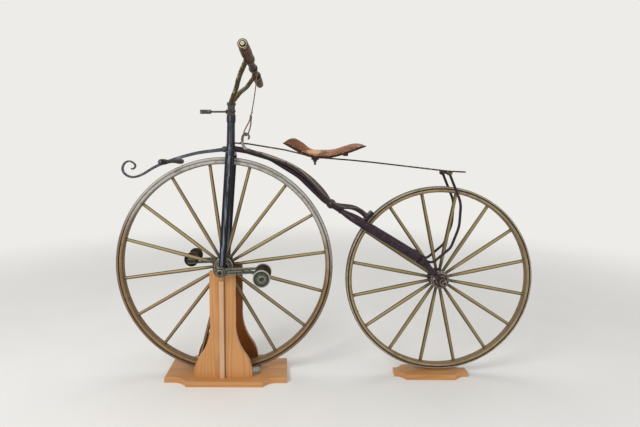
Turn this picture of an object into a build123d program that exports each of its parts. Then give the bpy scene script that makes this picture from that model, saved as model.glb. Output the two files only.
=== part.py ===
from build123d import *
import os
from math import cos, radians, sin

# An iron and wood velocipede of about 1869, held up by a pine stand under its front axle
# and a pine block under its rear wheel. Millimetres. X runs to the rear, Y to the rider's
# right, Z up; the floor is Z = 0. Left is the -Y side.

SIDES = {"left": -1, "right": 1}

# driving sizes: wheels
FRONT_AXLE_X, FRONT_AXLE_Z = -425, 476
REAR_AXLE_X, REAR_AXLE_Z = 493, 421
FRONT_R, REAR_R = 465, 397
SPOKES = 16
TYRE_CROWN = 3
RIM_GROOVE = 5
RIM_ROUND = 8

# driving sizes: front hub, cranks and pedals
FRONT_AXLE_R = 9
RUNNING_GAP = 0.05
FORK_EYE_INNER, FORK_EYE_OUTER, FORK_EYE_R = 52, 80, 17
CRANK_LENGTH = 176
CRANK_TILT = 3
CRANK_BOSS_R, CRANK_ARM_ROOT, CRANK_ARM_TIP = 21, 12.5, 11
CRANK_BOSS_INNER, CRANK_BOSS_OUTER = 92, 114
CRANK_ARM_INNER, CRANK_ARM_OUTER = 97, 111
CRANK_SLOT = (CRANK_LENGTH - 52, 56, 8)
CRANK_FULLER = (58, 60, 7, 2.5)
PEDAL_PIN_R = 7
PEDAL_INNER, PEDAL_OUTER = 128, 230
PEDAL_DISC_R, PEDAL_DISC_THICK, PEDAL_CORE_R = 33, 8, 15

# driving sizes: steering, whose axis leans back a little towards its top
STEER_LEAN = 1.24
STEER_FOOT_X, STEER_FOOT_Z = -393.8, 962
STEM_R = 11
HEAD_FOOT, HEAD_TOP = 1, 150
CAP_FOOT, CAP_TOP = 150.5, 206
BLADE_TOP_X, BLADE_TOP_Y, BLADE_TOP_Z = -392, 36, 950
BLADE_EYE_Y = 66

# driving sizes: handlebar
BAR_X, BAR_Z = -297, 1310
BAR_R = 10
DRUM_R, DRUM_HALF = 14, 118
ARM_R = 9.8
ARM_EYE_R, ARM_EYE_Y, ARM_EYE_HALF = 21, 157, 9
GRIP_INNER, GRIP_OUTER = 168, 364

# driving sizes: stand
FOOT_THICK = 22
POST_INNER, POST_OUTER = 57, 80
POST_TOP = 470
BATTEN_THICK, BATTEN_WIDE, BATTEN_TOP = 10, 20, 432
WOOD_BEVEL = 1.5

# driving sizes: rear fork
REAR_AXLE_R = 7
LEG_EYE_INNER, LEG_EYE_OUTER, LEG_EYE_R = 46, 60, 19

# driving sizes: saddle spring and lever
LEVER_PIVOT_X, LEVER_PIVOT_Z, LEVER_BOLT_R = 30, 745, 5
SPRING_THICK, SPRING_HALF = 6, 18
LEVER_INNER, LEVER_OUTER = 21, 28
SPOON_GAP, SPOON_THICK, SPOON_HALF = 6, 10, 16

os.makedirs("parts", exist_ok=True)


def save(builder, label):
    """Label a finished piece and write it."""
    builder.part.label = label
    export_step(builder.part, f"parts/{label}.step")


def side_face(x, z):
    """A plane through (x, 0, z) whose local x is +X, whose local y is +Z, facing -Y."""
    return Plane(origin=(x, 0, z), x_dir=(1, 0, 0), z_dir=(0, -1, 0))


def turned(centre, profile):
    """Revolve a closed (radius, y) profile about the Y axis through a wheel's centre."""
    x, z = centre
    with BuildPart() as ring:
        with BuildSketch(Plane.XY.offset(z)):
            with BuildLine():
                Polyline(*[(x + r, y) for r, y in profile], close=True)
            make_face()
        revolve(axis=Axis((x, 0, z), (0, 1, 0)))
    return ring.part


def bent_rod(route, bends, radius):
    """Sweep a round bar along straight runs joined by arcs."""
    with BuildPart() as bar:
        with BuildLine() as path:
            FilletPolyline(*route, radius=bends)
        with BuildSketch(Plane(origin=path.line @ 0, z_dir=path.line % 0)):
            Circle(radius)
        sweep(path=path.line)
    return bar.part


def flat_bar(route, bends, thick, low_y, high_y):
    """A flat bar bent in the XZ plane, from low_y to high_y."""
    with BuildPart() as bar:
        with BuildSketch(Plane(origin=(0, high_y, 0), x_dir=(1, 0, 0), z_dir=(0, -1, 0))):
            with BuildLine() as path:
                FilletPolyline(*[(x, z) for x, z in route], radius=bends)
            trace(path.line, line_width=thick)
        extrude(amount=high_y - low_y)
    return bar.part


def two_ended(half):
    """A (radius, y) profile, given from its end to its middle, joined to its mirror image."""
    return [(r, -y) for r, y in half] + [(r, y) for r, y in reversed(half)]


def tapered_bar(stations, low_y, high_y):
    """A flat bar from low_y to high_y along (x, z, half width) stations, with smooth edges."""
    upper, lower = [], []
    for k, (x, z, half) in enumerate(stations):
        before, after = stations[max(k - 1, 0)], stations[min(k + 1, len(stations) - 1)]
        normal = Vector(before[1] - after[1], after[0] - before[0]).normalized() * half
        upper.append((x + normal.X, z + normal.Y))
        lower.append((x - normal.X, z - normal.Y))
    with BuildPart() as bar:
        with BuildSketch(Plane(origin=(0, high_y, 0), x_dir=(1, 0, 0), z_dir=(0, -1, 0))):
            with BuildLine():
                Spline(*upper)
                Line(upper[-1], lower[-1])
                Spline(*reversed(lower))
                Line(lower[0], upper[0])
            make_face()
        extrude(amount=high_y - low_y)
    return bar.part


# wheels
# name, axle centre, outer radius, tyre thickness and half width, felloe depth and half width,
# angle of the first spoke clockwise from the top, hub barrel radius, and the hub's (radius, y)
# outline from its end to its barrel
WHEELS = [
    ("front", (FRONT_AXLE_X, FRONT_AXLE_Z), FRONT_R, 12, 15, 18, 17, -7.6, 33,
     [(FRONT_AXLE_R, 46), (24, 46), (24, 33), (30, 30), (31.5, 27), (34, 27), (35, 28.5),
      (38, 28.5), (40, 27), (40, 21), (33, 21)]),
    ("rear", (REAR_AXLE_X, REAR_AXLE_Z), REAR_R, 9, 13, 17, 14, -11.9, 32,
     [(REAR_AXLE_R + RUNNING_GAP, 45), (20, 45), (21, 35), (34, 28), (38.5, 27), (38.5, 20),
      (32, 20)]),
]
SPOKE_ROOT_R, SPOKE_BELLY_R, SPOKE_TIP_R = 5.8, 8.2, 6.8
SPOKE_BELLY_AT = 120
SPOKE_TENON = 4

for (name, centre, outer_r, tyre_thick, tyre_half, felloe_depth, felloe_half, phase, barrel_r,
     hub_outline) in WHEELS:
    tyre_inner = outer_r - tyre_thick
    felloe_inner = tyre_inner - felloe_depth
    with BuildPart() as tyre:
        add(turned(centre, two_ended([
            (tyre_inner, tyre_half), (outer_r - TYRE_CROWN, tyre_half),
            (outer_r - TYRE_CROWN / 4, tyre_half - TYRE_CROWN), (outer_r, tyre_half / 3),
        ])[::-1]))
    save(tyre, f"{name}_tyre")

    with BuildPart() as felloe:
        add(turned(centre, two_ended([
            (tyre_inner, felloe_half - RIM_GROOVE), (tyre_inner - RIM_GROOVE, felloe_half),
            (felloe_inner + RIM_ROUND, felloe_half),
            (felloe_inner + RIM_ROUND / 3, felloe_half - RIM_ROUND / 3),
            (felloe_inner, felloe_half - RIM_ROUND + 1),
        ])))
    save(felloe, f"{name}_felloe")

    with BuildPart() as hub:
        add(turned(centre, two_ended(hub_outline)))
    save(hub, f"{name}_hub")

    # one turned spoke, cut round where it meets the hub's barrel and the rim
    with BuildPart() as spoke:
        with BuildSketch(side_face(*centre)):
            with BuildLine():
                Polyline((0, barrel_r - SPOKE_TENON), (SPOKE_ROOT_R, barrel_r - SPOKE_TENON),
                         (SPOKE_BELLY_R, barrel_r + SPOKE_BELLY_AT),
                         (SPOKE_TIP_R, felloe_inner + SPOKE_TENON),
                         (0, felloe_inner + SPOKE_TENON), close=True)
            make_face()
        revolve(axis=Axis((centre[0], 0, centre[1]), (0, 0, 1)))
        with BuildSketch(side_face(*centre)):
            Circle(felloe_inner)
            Circle(barrel_r, mode=Mode.SUBTRACT)
        extrude(amount=2 * SPOKE_BELLY_R, both=True, mode=Mode.INTERSECT)
    axle = Axis((centre[0], 0, centre[1]), (0, 1, 0))
    with BuildPart() as spokes:
        for k in range(SPOKES):
            add(spoke.part.rotate(axle, phase + k * 360 / SPOKES))
    save(spokes, f"{name}_spokes")

# front axle with a domed cap outside each crank
with BuildPart() as front_axle:
    add(turned((FRONT_AXLE_X, FRONT_AXLE_Z), two_ended([
        (0, CRANK_BOSS_OUTER + 5), (2.5, CRANK_BOSS_OUTER + 5), (2.5, CRANK_BOSS_OUTER + 8),
        (7, CRANK_BOSS_OUTER + 8), (11.5, CRANK_BOSS_OUTER + 6), (14, CRANK_BOSS_OUTER + 3),
        (14, CRANK_BOSS_OUTER), (FRONT_AXLE_R, CRANK_BOSS_OUTER),
    ])))
save(front_axle, "front_axle")

# cranks, half a turn apart: the left one to the rear, the right one to the front
for name, side in SIDES.items():
    turn = CRANK_TILT if name == "left" else 180 + CRANK_TILT
    reach = Vector(cos(radians(turn)), 0, sin(radians(turn)))
    upright = Plane(origin=(FRONT_AXLE_X, 0, FRONT_AXLE_Z), x_dir=reach, z_dir=(0, -1, 0))
    pedal_at = Vector(FRONT_AXLE_X, 0, FRONT_AXLE_Z) + reach * CRANK_LENGTH
    slot_at, slot_long, slot_wide = CRANK_SLOT
    fuller_at, fuller_long, fuller_wide, fuller_deep = CRANK_FULLER

    with BuildPart() as crank:
        with BuildSketch(upright.offset(-side * CRANK_ARM_INNER)):
            with BuildLine():
                Polyline((0, -CRANK_ARM_ROOT), (CRANK_LENGTH, -CRANK_ARM_TIP),
                         (CRANK_LENGTH, CRANK_ARM_TIP), (0, CRANK_ARM_ROOT), close=True)
            make_face()
            with Locations((CRANK_LENGTH, 0)):
                Circle(CRANK_ARM_TIP + 2)
            with Locations((slot_at, 0)):
                SlotOverall(slot_long, slot_wide, mode=Mode.SUBTRACT)
        extrude(amount=-side * (CRANK_ARM_OUTER - CRANK_ARM_INNER))
        with BuildSketch(upright.offset(-side * (CRANK_ARM_OUTER - fuller_deep))):
            with Locations((fuller_at, 0)):
                SlotOverall(fuller_long, fuller_wide)
        extrude(amount=-side * fuller_deep, mode=Mode.SUBTRACT)
        add(turned((FRONT_AXLE_X, FRONT_AXLE_Z), [(r, side * y) for r, y in [
            (0, CRANK_BOSS_INNER), (CRANK_BOSS_R - 1.5, CRANK_BOSS_INNER),
            (CRANK_BOSS_R, CRANK_BOSS_INNER + 1.5), (CRANK_BOSS_R, CRANK_BOSS_OUTER - 2),
            (CRANK_BOSS_R - 2, CRANK_BOSS_OUTER), (0, CRANK_BOSS_OUTER),
        ]]))
        with BuildSketch(upright.offset(-side * CRANK_BOSS_INNER)):
            Circle(FRONT_AXLE_R)
        extrude(amount=-side * (CRANK_BOSS_OUTER - CRANK_BOSS_INNER), mode=Mode.SUBTRACT)
        add(turned((pedal_at.X, pedal_at.Z), [(r, side * y) for r, y in [
            (0, CRANK_ARM_OUTER), (PEDAL_PIN_R + 4, CRANK_ARM_OUTER),
            (PEDAL_PIN_R + 4, PEDAL_INNER - 1), (PEDAL_PIN_R, PEDAL_INNER - 1),
            (PEDAL_PIN_R, PEDAL_OUTER + 1), (PEDAL_PIN_R + 3, PEDAL_OUTER + 1),
            (PEDAL_PIN_R + 3, PEDAL_OUTER + 3), (PEDAL_PIN_R, PEDAL_OUTER + 5),
            (3, PEDAL_OUTER + 5), (3, PEDAL_OUTER + 3), (0, PEDAL_OUTER + 3),
        ]]))
    save(crank, f"crank_{name}")

    # a turned bobbin pedal that spins on the crank's pin, with a ringed face at each end
    ringed = [(0, 1), (13, 1), (14, 0), (23, 0), (24.5, 1.8), (27.5, 1.8), (29, 0),
              (PEDAL_DISC_R - 1.5, 0), (PEDAL_DISC_R, 1.5)]
    waist = [(PEDAL_DISC_R, PEDAL_DISC_THICK - 1), (PEDAL_DISC_R - 1, PEDAL_DISC_THICK),
             (PEDAL_CORE_R + 5, PEDAL_DISC_THICK + 3), (PEDAL_CORE_R, 2 * PEDAL_DISC_THICK)]
    bore = PEDAL_PIN_R + RUNNING_GAP
    end = [(max(r, bore), y) for r, y in ringed] + waist
    bobbin = [(r, PEDAL_INNER + y) for r, y in end] + [(r, PEDAL_OUTER - y) for r, y in end[::-1]]
    with BuildPart() as pedal:
        add(turned((pedal_at.X, pedal_at.Z), [(r, side * y) for r, y in bobbin]))
    save(pedal, f"pedal_{name}")

# the rear axle with a washer and a domed nut outside each eye of the rear fork
with BuildPart() as rear_axle:
    add(turned((REAR_AXLE_X, REAR_AXLE_Z), two_ended([
        (0, LEG_EYE_OUTER + 19), (4, LEG_EYE_OUTER + 18.5), (9, LEG_EYE_OUTER + 16.5),
        (11.5, LEG_EYE_OUTER + 12), (11.5, LEG_EYE_OUTER + 5), (15, LEG_EYE_OUTER + 5),
        (15, LEG_EYE_OUTER), (REAR_AXLE_R, LEG_EYE_OUTER),
    ])))
save(rear_axle, "rear_axle")

# steering parts, drawn on a plane through the steering axis with its local y up that axis
lean = radians(STEER_LEAN)
steer_face = Plane(origin=(STEER_FOOT_X, 0, STEER_FOOT_Z),
                   x_dir=(cos(lean), 0, -sin(lean)), z_dir=(0, -1, 0))
steer_up = Vector(sin(lean), 0, cos(lean))
steer_axis = Axis((STEER_FOOT_X, 0, STEER_FOOT_Z), (sin(lean), 0, cos(lean)))


def steer_turned(profile):
    """Revolve a closed (radius, height) profile about the steering axis."""
    with BuildPart() as ring:
        with BuildSketch(steer_face):
            with BuildLine():
                Polyline(*profile, close=True)
            make_face()
        revolve(axis=steer_axis)
    return ring.part


# the frame's head: a long tapered socket with a heavy collar at its foot
head_outline = [
    (0, HEAD_FOOT), (25, HEAD_FOOT), (25, 11), (20, 17), (17.5, 34), (16.5, 122),
    (19, 128), (19, HEAD_TOP), (0, HEAD_TOP),
]
with BuildPart() as head_blank:
    add(steer_turned(head_outline))

with BuildPart() as head_tube:
    add(head_blank.part)
    bore_r = STEM_R + RUNNING_GAP
    add(steer_turned([(0, 0), (bore_r, 0), (bore_r, HEAD_TOP + 1), (0, HEAD_TOP + 1)]),
        mode=Mode.SUBTRACT)
save(head_tube, "head_tube")

# the fork's crown carries the stem that turns in the head
CROWN_THICK = 14
with BuildPart() as fork_crown:
    with BuildSketch(Plane(origin=(BLADE_TOP_X, 0, BLADE_TOP_Z - 2))):
        SlotOverall(2 * BLADE_TOP_Y + 26, 38, rotation=90)
    extrude(amount=CROWN_THICK)
    add(steer_turned([(0, 0), (STEM_R, 0), (STEM_R, CAP_TOP - 8), (0, CAP_TOP - 8)]))
save(fork_crown, "fork_crown")

# fork blades: oval bars that widen from the crown to an eye on the axle
for name, side in SIDES.items():
    top = Vector(BLADE_TOP_X, side * BLADE_TOP_Y, BLADE_TOP_Z)
    eye = Vector(FRONT_AXLE_X, side * BLADE_EYE_Y, FRONT_AXLE_Z)
    down = (eye - top).normalized()
    with BuildPart() as fork_blade:
        with BuildSketch(Plane(origin=top - down * 4, x_dir=(1, 0, 0.07), z_dir=down)):
            Ellipse(19.5, 10)
        with BuildSketch(Plane(origin=eye, x_dir=(1, 0, 0.07), z_dir=down)):
            Ellipse(14, 9)
        loft()
        with BuildSketch(side_face(FRONT_AXLE_X, FRONT_AXLE_Z).offset(-side * FORK_EYE_INNER)):
            Circle(FORK_EYE_R)
        extrude(amount=-side * (FORK_EYE_OUTER - FORK_EYE_INNER))
        with BuildSketch(side_face(FRONT_AXLE_X, FRONT_AXLE_Z)):
            Circle(FRONT_AXLE_R + RUNNING_GAP)
        extrude(amount=-side * (FORK_EYE_OUTER + 10), mode=Mode.SUBTRACT)
        add(fork_crown.part, mode=Mode.SUBTRACT)
    save(fork_blade, f"fork_blade_{name}")

# a ringed cap on the stem, above the head
cap_outline = [
    (0, CAP_FOOT), (18.5, CAP_FOOT), (18.5, 158), (16, 160), (16, 166), (18.5, 168),
    (18.5, 175), (15.5, 178), (15.5, 194), (19, 197), (19, CAP_TOP), (0, CAP_TOP),
]
with BuildPart() as head_cap:
    add(steer_turned(cap_outline))
    add(fork_crown.part, mode=Mode.SUBTRACT)
save(head_cap, "head_cap")

# handlebar arms: they leave the cap, spread and rise with a kink, and end in an eye on the bar
cap_face = Vector(STEER_FOOT_X, 0, STEER_FOOT_Z) + steer_up * CAP_TOP
ARM_ROUTE = [(-379, 28, 1187), (-359, 60, 1222), (-349, 95, 1238), (-337, 130, 1257)]
for name, side in SIDES.items():
    with BuildPart() as handlebar_arm:
        add(bent_rod(
            [(cap_face.X, side * 9.5, cap_face.Z)] + [(x, side * y, z) for x, y, z in ARM_ROUTE]
            + [(BAR_X - 14, side * ARM_EYE_Y, BAR_Z - 8)],
            (30, 40, 40, 25), ARM_R))
        add(turned((BAR_X, BAR_Z), [(r, side * (ARM_EYE_Y + y)) for r, y in [
            (BAR_R, -ARM_EYE_HALF), (ARM_EYE_R - 2, -ARM_EYE_HALF),
            (ARM_EYE_R, 2 - ARM_EYE_HALF), (ARM_EYE_R, ARM_EYE_HALF - 2),
            (ARM_EYE_R - 2, ARM_EYE_HALF), (BAR_R, ARM_EYE_HALF),
        ]]))
        with BuildSketch(side_face(BAR_X, BAR_Z)):
            Circle(BAR_R)
        extrude(amount=-side * 2 * ARM_EYE_Y, mode=Mode.SUBTRACT)
        add(head_cap.part, mode=Mode.SUBTRACT)
        split(bisect_by=Plane.XZ, keep=Keep.BOTTOM if side > 0 else Keep.TOP)
    save(handlebar_arm, f"handlebar_arm_{name}")

# the handlebar turns in the arms' eyes to wind the brake cord round its middle
with BuildPart() as handlebar:
    add(turned((BAR_X, BAR_Z), two_ended([
        (0, GRIP_OUTER + 3), (14, GRIP_OUTER + 3), (14, GRIP_OUTER), (BAR_R, GRIP_OUTER),
        (BAR_R, DRUM_HALF + 6), (DRUM_R, DRUM_HALF),
    ])))
    for side in SIDES.values():
        with BuildSketch(side_face(BAR_X, BAR_Z).offset(-side * (GRIP_OUTER + 3))):
            RegularPolygon(9, 6)
        extrude(amount=-side * 6)
save(handlebar, "handlebar")

for name, side in SIDES.items():
    with BuildPart() as grip:
        add(turned((BAR_X, BAR_Z), [(r, side * y) for r, y in [
            (BAR_R, GRIP_INNER), (17.5, GRIP_INNER), (19.5, GRIP_INNER + 3),
            (19.5, GRIP_INNER + 13), (18.5, GRIP_INNER + 17), (19.8, 225), (20.2, 255),
            (19, 315), (17, 352), (15, GRIP_OUTER), (BAR_R, GRIP_OUTER),
        ]]))
    save(grip, f"grip_{name}")

# a lamp bracket forward of the cap
LAMP_Z, LAMP_ROD_R, LAMP_PIN_R = 1131, 4, 9
LAMP_TIP_X, LAMP_PIN_LONG = -520, 45
with BuildPart() as lamp_bracket:
    with BuildSketch(Plane(origin=(LAMP_TIP_X + LAMP_PIN_LONG, 0, LAMP_Z), z_dir=(1, 0, 0))):
        Circle(LAMP_ROD_R)
    extrude(amount=cap_face.X - 13 - LAMP_TIP_X - LAMP_PIN_LONG)
    with BuildSketch(Plane(origin=(LAMP_TIP_X, 0, LAMP_Z), z_dir=(1, 0, 0))):
        Circle(LAMP_PIN_R)
    extrude(amount=LAMP_PIN_LONG)
    add(head_cap.part, mode=Mode.SUBTRACT)
save(lamp_bracket, "lamp_bracket")

# backbone: a round forged bar from the head down to the yoke of the rear fork, with a boss
# where the lever's bolt goes through
BACKBONE_R = 12
YOKE_X, YOKE_Z, YOKE_R = 75, 713, 14
PIVOT_BOSS_R = 17
with BuildPart() as backbone:
    add(bent_rod([
        (STEER_FOOT_X + 16, 0, 976), (-325, 0, 967), (-225, 0, 937),
        (-104, 0, 862.5), (3, 0, 758), (YOKE_X, 0, YOKE_Z),
    ], (60, 120, 200, 120), BACKBONE_R))
    with Locations((YOKE_X, 0, YOKE_Z)):
        Sphere(YOKE_R)
    add(head_blank.part, mode=Mode.SUBTRACT)
    with BuildSketch(side_face(LEVER_PIVOT_X, LEVER_PIVOT_Z)):
        Circle(PIVOT_BOSS_R)
    extrude(amount=BACKBONE_R, both=True)
    with BuildSketch(side_face(LEVER_PIVOT_X, LEVER_PIVOT_Z)):
        Circle(LEVER_BOLT_R)
    extrude(amount=2 * BACKBONE_R, both=True, mode=Mode.SUBTRACT)
save(backbone, "backbone")

# rear fork legs: stout bars that swell from the yoke to a collar, then a thinner bar to the
# axle's eye; each section is its (x, y, z) middle and its half height
LEG_SECTIONS = [
    ((YOKE_X, 5, YOKE_Z), 10), ((104, 26, 694), 14), ((135, 44, 677), 16.5),
    ((175, 48, 653), 17.5), ((290, 49, 583), 18.5), ((405, 50, 513), 18),
]
LEG_HALF_WIDTH, LEG_BEND_END = 12, 3
COLLAR_R, COLLAR_HALF = 21.5, 10
TOE_ROOT_R, TOE_TIP_R = 13, 11
middles = [Vector(*at) for at, _ in LEG_SECTIONS]
collar = middles[-1]
run = (collar - middles[-2]).normalized()
eye = Vector(REAR_AXLE_X, (LEG_EYE_INNER + LEG_EYE_OUTER) / 2, REAR_AXLE_Z)
toward_eye = (eye - collar).normalized()
with BuildPart() as rear_leg:
    for stretch, straight in ((range(LEG_BEND_END + 1), False),
                              (range(LEG_BEND_END, len(middles)), True)):
        for k in stretch:
            along = run if k >= LEG_BEND_END else middles[k + 1] - middles[max(k - 1, 0)]
            with BuildSketch(Plane(origin=middles[k], x_dir=(along.Z, 0, -along.X),
                                   z_dir=along)):
                Ellipse(LEG_SECTIONS[k][1], LEG_HALF_WIDTH)
        loft(ruled=straight)
    with BuildSketch(Plane(origin=collar - run * COLLAR_HALF, z_dir=run)):
        Circle(COLLAR_R)
    extrude(amount=2 * COLLAR_HALF)
    with BuildSketch(Plane(origin=collar, z_dir=toward_eye)):
        Circle(TOE_ROOT_R)
    with BuildSketch(Plane(origin=eye - toward_eye * TOE_TIP_R, z_dir=toward_eye)):
        Circle(TOE_TIP_R)
    loft()
    for clear_from, clear_to in ((0, LEG_EYE_INNER), (LEG_EYE_OUTER, LEG_EYE_OUTER + TOE_TIP_R)):
        with BuildSketch(side_face(REAR_AXLE_X, REAR_AXLE_Z).offset(-clear_from)):
            Circle(3 * LEG_EYE_R)
        extrude(amount=clear_from - clear_to, mode=Mode.SUBTRACT)
    with BuildSketch(side_face(REAR_AXLE_X, REAR_AXLE_Z).offset(-LEG_EYE_INNER)):
        Circle(LEG_EYE_R)
        Circle(REAR_AXLE_R, mode=Mode.SUBTRACT)
    extrude(amount=LEG_EYE_INNER - LEG_EYE_OUTER)
    with BuildSketch(side_face(REAR_AXLE_X, REAR_AXLE_Z)):
        Circle(REAR_AXLE_R)
    extrude(amount=-LEG_EYE_OUTER - TOE_TIP_R, mode=Mode.SUBTRACT)
    add(backbone.part, mode=Mode.SUBTRACT)
    split(bisect_by=Plane.XZ, keep=Keep.BOTTOM)
legs = {"right": rear_leg.part, "left": rear_leg.part.mirror(Plane.XZ)}
for name, shape in legs.items():
    with BuildPart() as leg:
        add(shape)
    save(leg, f"rear_leg_{name}")

# saddle spring: one flat leaf from the head to the stays over the rear wheel
SPRING_ROUTE = [(-377, 1000), (-322, 997), (-164, 971), (-37, 940), (113, 928), (203, 919),
                (528, 881), (593, 878)]
with BuildPart() as saddle_spring:
    add(flat_bar(SPRING_ROUTE, (60, 300, 300, 300, 300, 300), SPRING_THICK, -SPRING_HALF, SPRING_HALF))
    add(head_blank.part, mode=Mode.SUBTRACT)
save(saddle_spring, "saddle_spring")

# stays: C-shaped rods from the fork legs up to the end of the spring
STAY_Y, STAY_R = 38, 5.3
STAY_TOP_X, STAY_TOP_Z, STAY_EYE_R = 516, 875, 10
STAY_ROUTE = [(415, 510), (455, 497), (530, 562), (563, 650), (568, 750),
              (STAY_TOP_X, STAY_TOP_Z)]
with BuildPart() as stay_bolt:
    with BuildSketch(side_face(STAY_TOP_X, STAY_TOP_Z)):
        Circle(6)
    extrude(amount=STAY_Y + 12, both=True)
    add(saddle_spring.part, mode=Mode.SUBTRACT)
save(stay_bolt, "stay_bolt")

for name, side in SIDES.items():
    with BuildPart() as stay:
        add(bent_rod([(x, side * STAY_Y, z) for x, z in STAY_ROUTE], (30, 60, 150, 120), STAY_R))
        with BuildSketch(side_face(STAY_TOP_X, STAY_TOP_Z).offset(-side * (STAY_Y - STAY_R - 1))):
            Circle(STAY_EYE_R)
        extrude(amount=-side * 2 * (STAY_R + 1))
        add(stay_bolt.part, mode=Mode.SUBTRACT)
        add(legs[name], mode=Mode.SUBTRACT)
    save(stay, f"spring_stay_{name}")

# the spoon follows the rear tyre at a small gap
SPOON_START, SPOON_END = 134.8, 141.6
spoon_inner = REAR_R + SPOON_GAP
spoon_outer = spoon_inner + SPOON_THICK
with BuildPart() as brake_spoon:
    with BuildSketch(side_face(REAR_AXLE_X, REAR_AXLE_Z).offset(-SPOON_HALF)):
        with BuildLine():
            arc_in = CenterArc((0, 0), spoon_inner, SPOON_START, SPOON_END - SPOON_START)
            arc_out = CenterArc((0, 0), spoon_outer, SPOON_START, SPOON_END - SPOON_START)
            Line(arc_in @ 0, arc_out @ 0)
            Line(arc_in @ 1, arc_out @ 1)
        make_face()
    extrude(amount=SPOON_HALF + LEVER_OUTER)
save(brake_spoon, "brake_spoon")

# brake lever: a flat bar beside the backbone that widens to its pivot, hooked over at its front
# end for the cord, with the spoon at its rear end; the bolt through the backbone is its pivot
LEVER_STATIONS = [
    (-318, 1014, 3.5), (-313, 1025, 4), (-317, 1034, 4.2), (-328, 1038, 4.5),
    (-337, 1031, 4.8), (-341, 1015, 5.2), (-340.5, 998, 5.6), (-335, 984, 6),
    (-324, 973.5, 6.4), (-306, 966.5, 6.6), (-278, 959.5, 6.8), (-235, 946.5, 7),
    (-187, 928.5, 7.6), (-148, 911, 8.6), (-105, 885, 10.2), (-58, 848.5, 11.8),
    (-17, 806, 12.9), (10, 770, 13), (30, 745, 12.5), (54, 737, 12), (84, 734, 11),
    (115, 731, 10.2), (147, 718, 10.5), (179, 691, 11),
]
LEVER_EYE_R = 20
with BuildPart() as brake_lever:
    add(tapered_bar(LEVER_STATIONS, -LEVER_OUTER, -LEVER_INNER))
    with BuildSketch(side_face(LEVER_PIVOT_X, LEVER_PIVOT_Z).offset(LEVER_INNER)):
        Circle(LEVER_EYE_R)
    extrude(amount=LEVER_OUTER - LEVER_INNER)
    with BuildSketch(side_face(LEVER_PIVOT_X, LEVER_PIVOT_Z).offset(LEVER_INNER)):
        Circle(LEVER_BOLT_R)
    extrude(amount=LEVER_OUTER - LEVER_INNER, mode=Mode.SUBTRACT)
    with BuildSketch(side_face(REAR_AXLE_X, REAR_AXLE_Z).offset(LEVER_INNER)):
        Circle(spoon_outer)
    extrude(amount=LEVER_OUTER - LEVER_INNER, mode=Mode.SUBTRACT)
save(brake_lever, "brake_lever")

# the lever's bolt: a spacer beside the backbone and a domed head outside the lever
SPACER_R, BOLT_HEAD_R, BOLT_HEAD_HIGH = 12, 9.5, 8
with BuildPart() as brake_pivot:
    add(turned((LEVER_PIVOT_X, LEVER_PIVOT_Z), [
        (0, BACKBONE_R + 5), (LEVER_BOLT_R, BACKBONE_R + 5), (LEVER_BOLT_R, -BACKBONE_R),
        (SPACER_R, -BACKBONE_R), (SPACER_R, -LEVER_INNER), (LEVER_BOLT_R, -LEVER_INNER),
        (LEVER_BOLT_R, -LEVER_OUTER), (BOLT_HEAD_R, -LEVER_OUTER),
        (BOLT_HEAD_R, -LEVER_OUTER - BOLT_HEAD_HIGH / 2),
        (BOLT_HEAD_R / 2, -LEVER_OUTER - BOLT_HEAD_HIGH), (0, -LEVER_OUTER - BOLT_HEAD_HIGH),
    ]))
save(brake_pivot, "brake_pivot")

# brake cord: three turns wound on the bar's middle, and a run from below them to the hook
CORD_R = 2.5
COIL_HALF, COIL_OUTER = 7.5, DRUM_R + 2 * CORD_R
CORD_TOP_Z = BAR_Z - COIL_OUTER
with BuildPart() as cord_winding:
    add(turned((BAR_X, BAR_Z), two_ended([
        (DRUM_R, COIL_HALF), (COIL_OUTER - 1, COIL_HALF), (COIL_OUTER, COIL_HALF - 1),
    ])))
save(cord_winding, "cord_winding")

with BuildPart() as brake_cord:
    add(bent_rod([
        (-281.5, -5, CORD_TOP_Z), (-282.5, -5, 1270), (-297, -8, 1195),
        (-326, -(LEVER_INNER + LEVER_OUTER) / 2, 1040),
    ], (150, 250), CORD_R))
    add(brake_lever.part, mode=Mode.SUBTRACT)
save(brake_cord, "brake_cord")

# leg rest: a flat bar from the head out over the front wheel, tapered to a scroll
LEG_REST_STATIONS = [
    (-407, 973, 9), (-432, 971.5, 8), (-463, 968, 7.3), (-528, 959.5, 6.7), (-590, 945, 6.3),
    (-643, 929, 6), (-691, 911, 5.7), (-726, 894, 5.3), (-757, 875, 5), (-786, 861, 4.8),
    (-813, 856, 4.6), (-838, 864, 4.4), (-854, 885, 4.2), (-850, 908, 4), (-831, 923, 3.8),
    (-810, 918, 3.6), (-800, 904, 3.5), (-806, 893, 3.4), (-818, 892, 3.2),
]
LEG_REST_HALF, LEG_REST_BEVEL = 5.5, 1.5
LEG_REST_LUG = (-420, 974, 13)
with BuildPart() as leg_rest:
    add(tapered_bar(LEG_REST_STATIONS, -LEG_REST_HALF, LEG_REST_HALF))
    chamfer(leg_rest.faces().filter_by(Plane.XZ).edges(), length=LEG_REST_BEVEL)
    lug_x, lug_z, lug_r = LEG_REST_LUG
    with Locations((lug_x, 0, lug_z)):
        Sphere(lug_r)
    add(head_blank.part, mode=Mode.SUBTRACT)
save(leg_rest, "leg_rest")

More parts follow.
